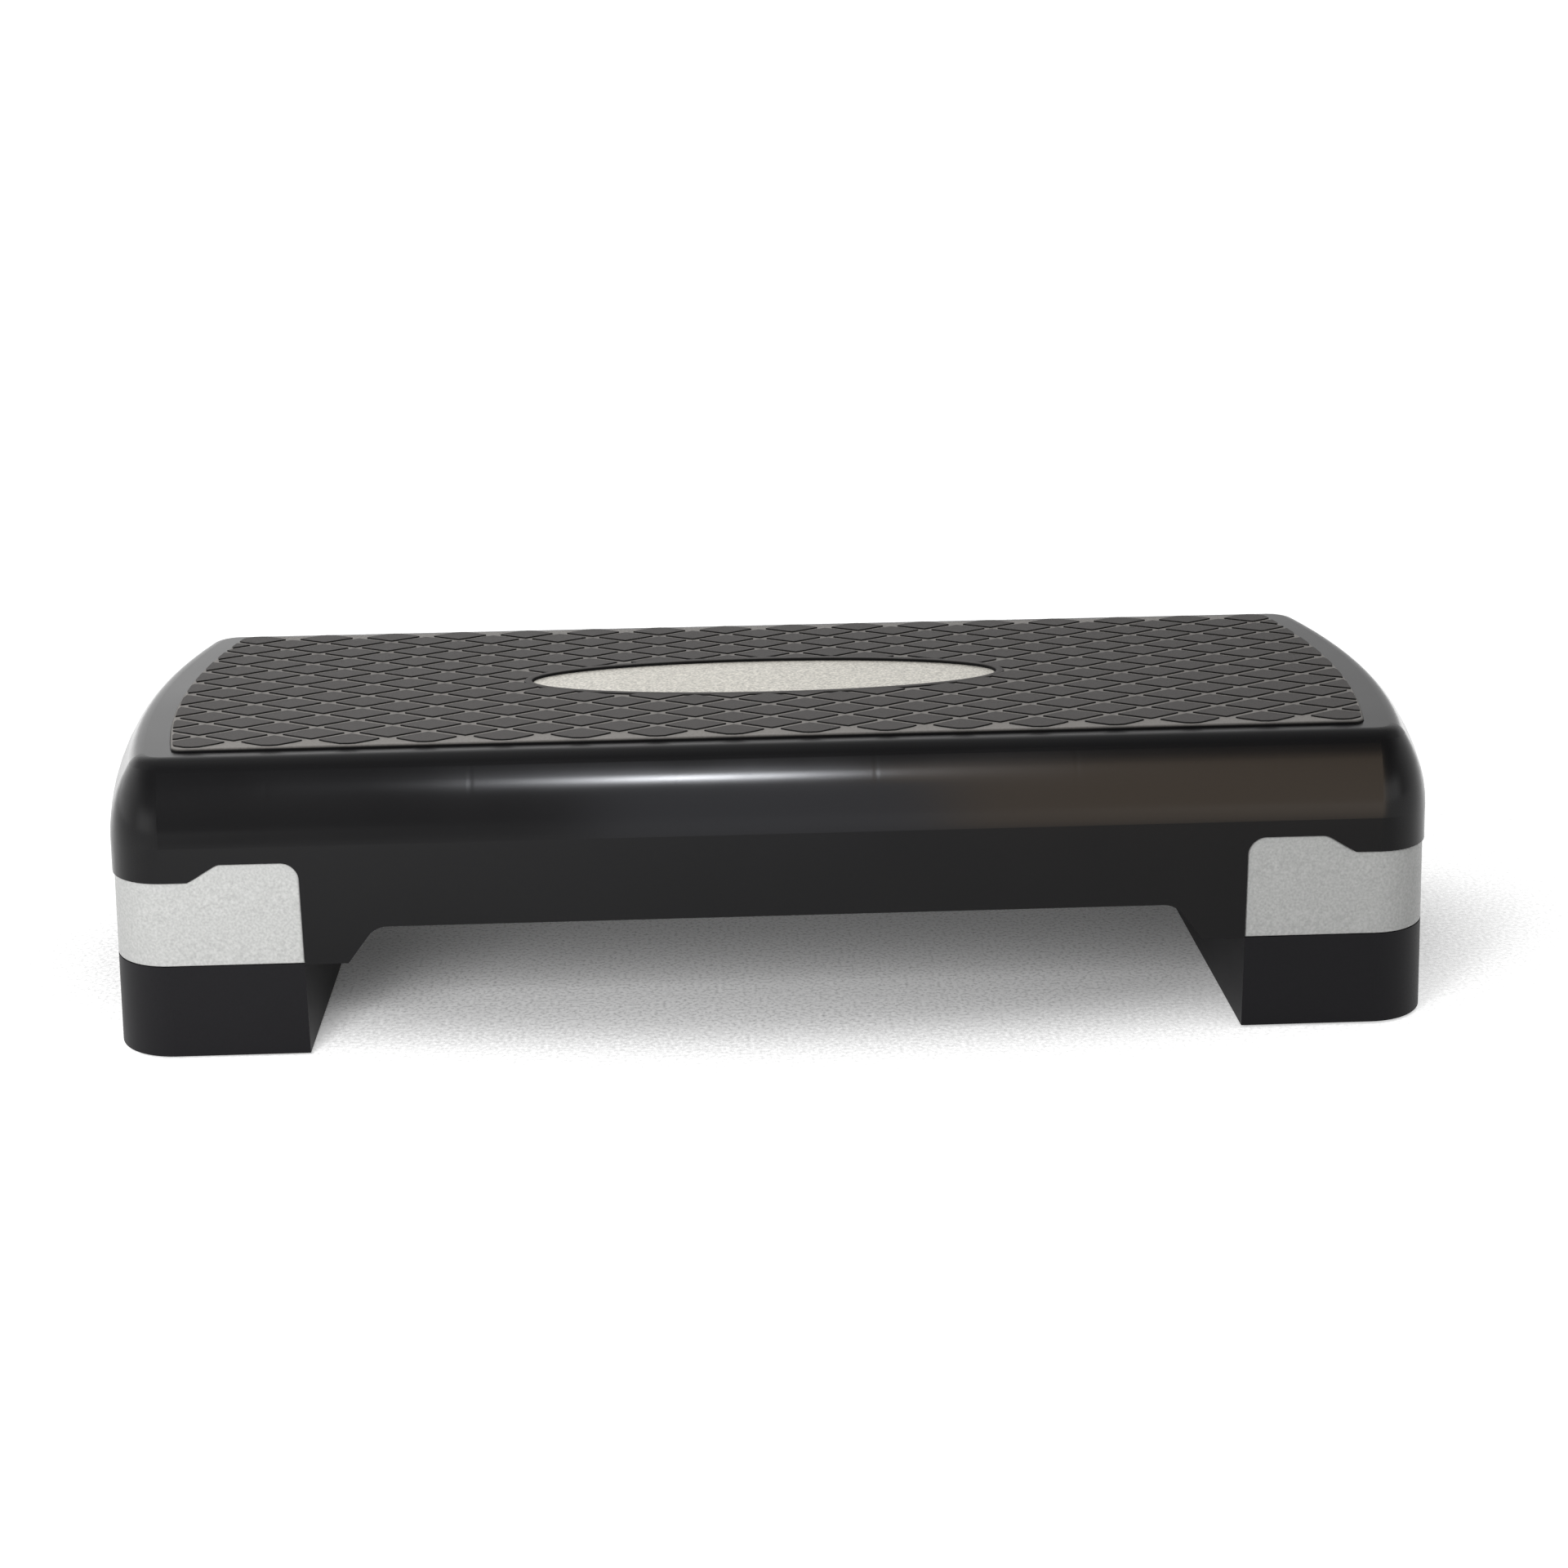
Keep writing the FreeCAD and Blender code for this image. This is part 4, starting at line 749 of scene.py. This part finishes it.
side_walls = range_node(sky, sideways, *WALL_SIDE_BAND, 0.0, WALL_LIGHT, smooth=True)
for way, band in ((toward.outputs["Y"], WALL_FRONT_BAND), (upward, WALL_HEIGHT_BAND)):
    side_walls = math_node(sky, "MULTIPLY", side_walls, range_node(sky, way, *band, 1.0, 0.0, smooth=True))
mirrored = math_node(sky, "ADD", mirrored, side_walls)
seen, by_camera = seen_directly(sky)
shown = math_node(sky, "MAXIMUM", mirrored, by_camera)
strength = mixed(sky, "FLOAT", seen, dome, shown)
sky.nodes["Background"].inputs["Color"].default_value = (1, 1, 1, 1)
sky.links.new(strength, sky.nodes["Background"].inputs["Strength"])
print("world:", world.name)

# %% [markdown]
# ## Lamps
# A soft box stands close in front on the left, so the left cover is paler than the right one. It gives plain
# light only. Three more lamps show as reflections only: a thin strip high ahead, which draws the bright line
# along the shoulder, and a cool and a warm panel side by side, which tint the middle and the right of the
# black wall. They are linked to the deck alone, because the satin plate would glare in them when seen from
# behind.

# %% Soft box, strip and panels
mirror_pieces = bpy.data.collections.new("mirror_pieces")
mirror_pieces.objects.link(nodes["deck"])


def soft_lamp(name, place, target, width, height, watts, tint, shows):
    """A rectangular lamp that faces a target; it either lights plainly or shows in reflections only."""
    data = bpy.data.lights.new(name, "AREA")
    data.shape = "RECTANGLE"
    data.size, data.size_y, data.energy = width, height, watts
    data.color = tint
    back = np.array(place, float) - np.array(target, float)
    back /= np.linalg.norm(back)
    right = np.cross((0.0, 0.0, 1.0), back)
    right /= np.linalg.norm(right)
    lamp = bpy.data.objects.new(name, data)
    bpy.context.scene.collection.objects.link(lamp)
    lamp.matrix_world = standing(place, right, np.cross(back, right), back)
    lamp.visible_camera = False
    lamp.visible_diffuse = not shows
    lamp.visible_glossy = shows
    if shows:
        lamp.light_linking.receiver_collection = mirror_pieces


soft_lamp(
    "left_soft_box", place=(-0.36, -0.8, 0.45), target=(-0.27, 0, 0.1), width=0.4, height=0.35,
    watts=5.9, tint=(1, 1, 1), shows=False)
soft_lamp(
    "shoulder_strip", place=(-0.05, -4.0, 2.73), target=(-0.05, 0, 0.12), width=0.45, height=0.1,
    watts=98, tint=(0.93, 0.95, 1.0), shows=True)
soft_lamp(
    "cool_panel", place=(0.02, -0.76, 0.22), target=(0.02, 0, 0.22), width=0.27, height=0.45,
    watts=0.9, tint=(0.88, 0.9, 1.0), shows=True)
soft_lamp(
    "warm_panel", place=(0.36, -0.76, 0.33), target=(0.36, 0, 0.33), width=0.5, height=0.64,
    watts=3.9, tint=(1.0, 0.77, 0.56), shows=True)
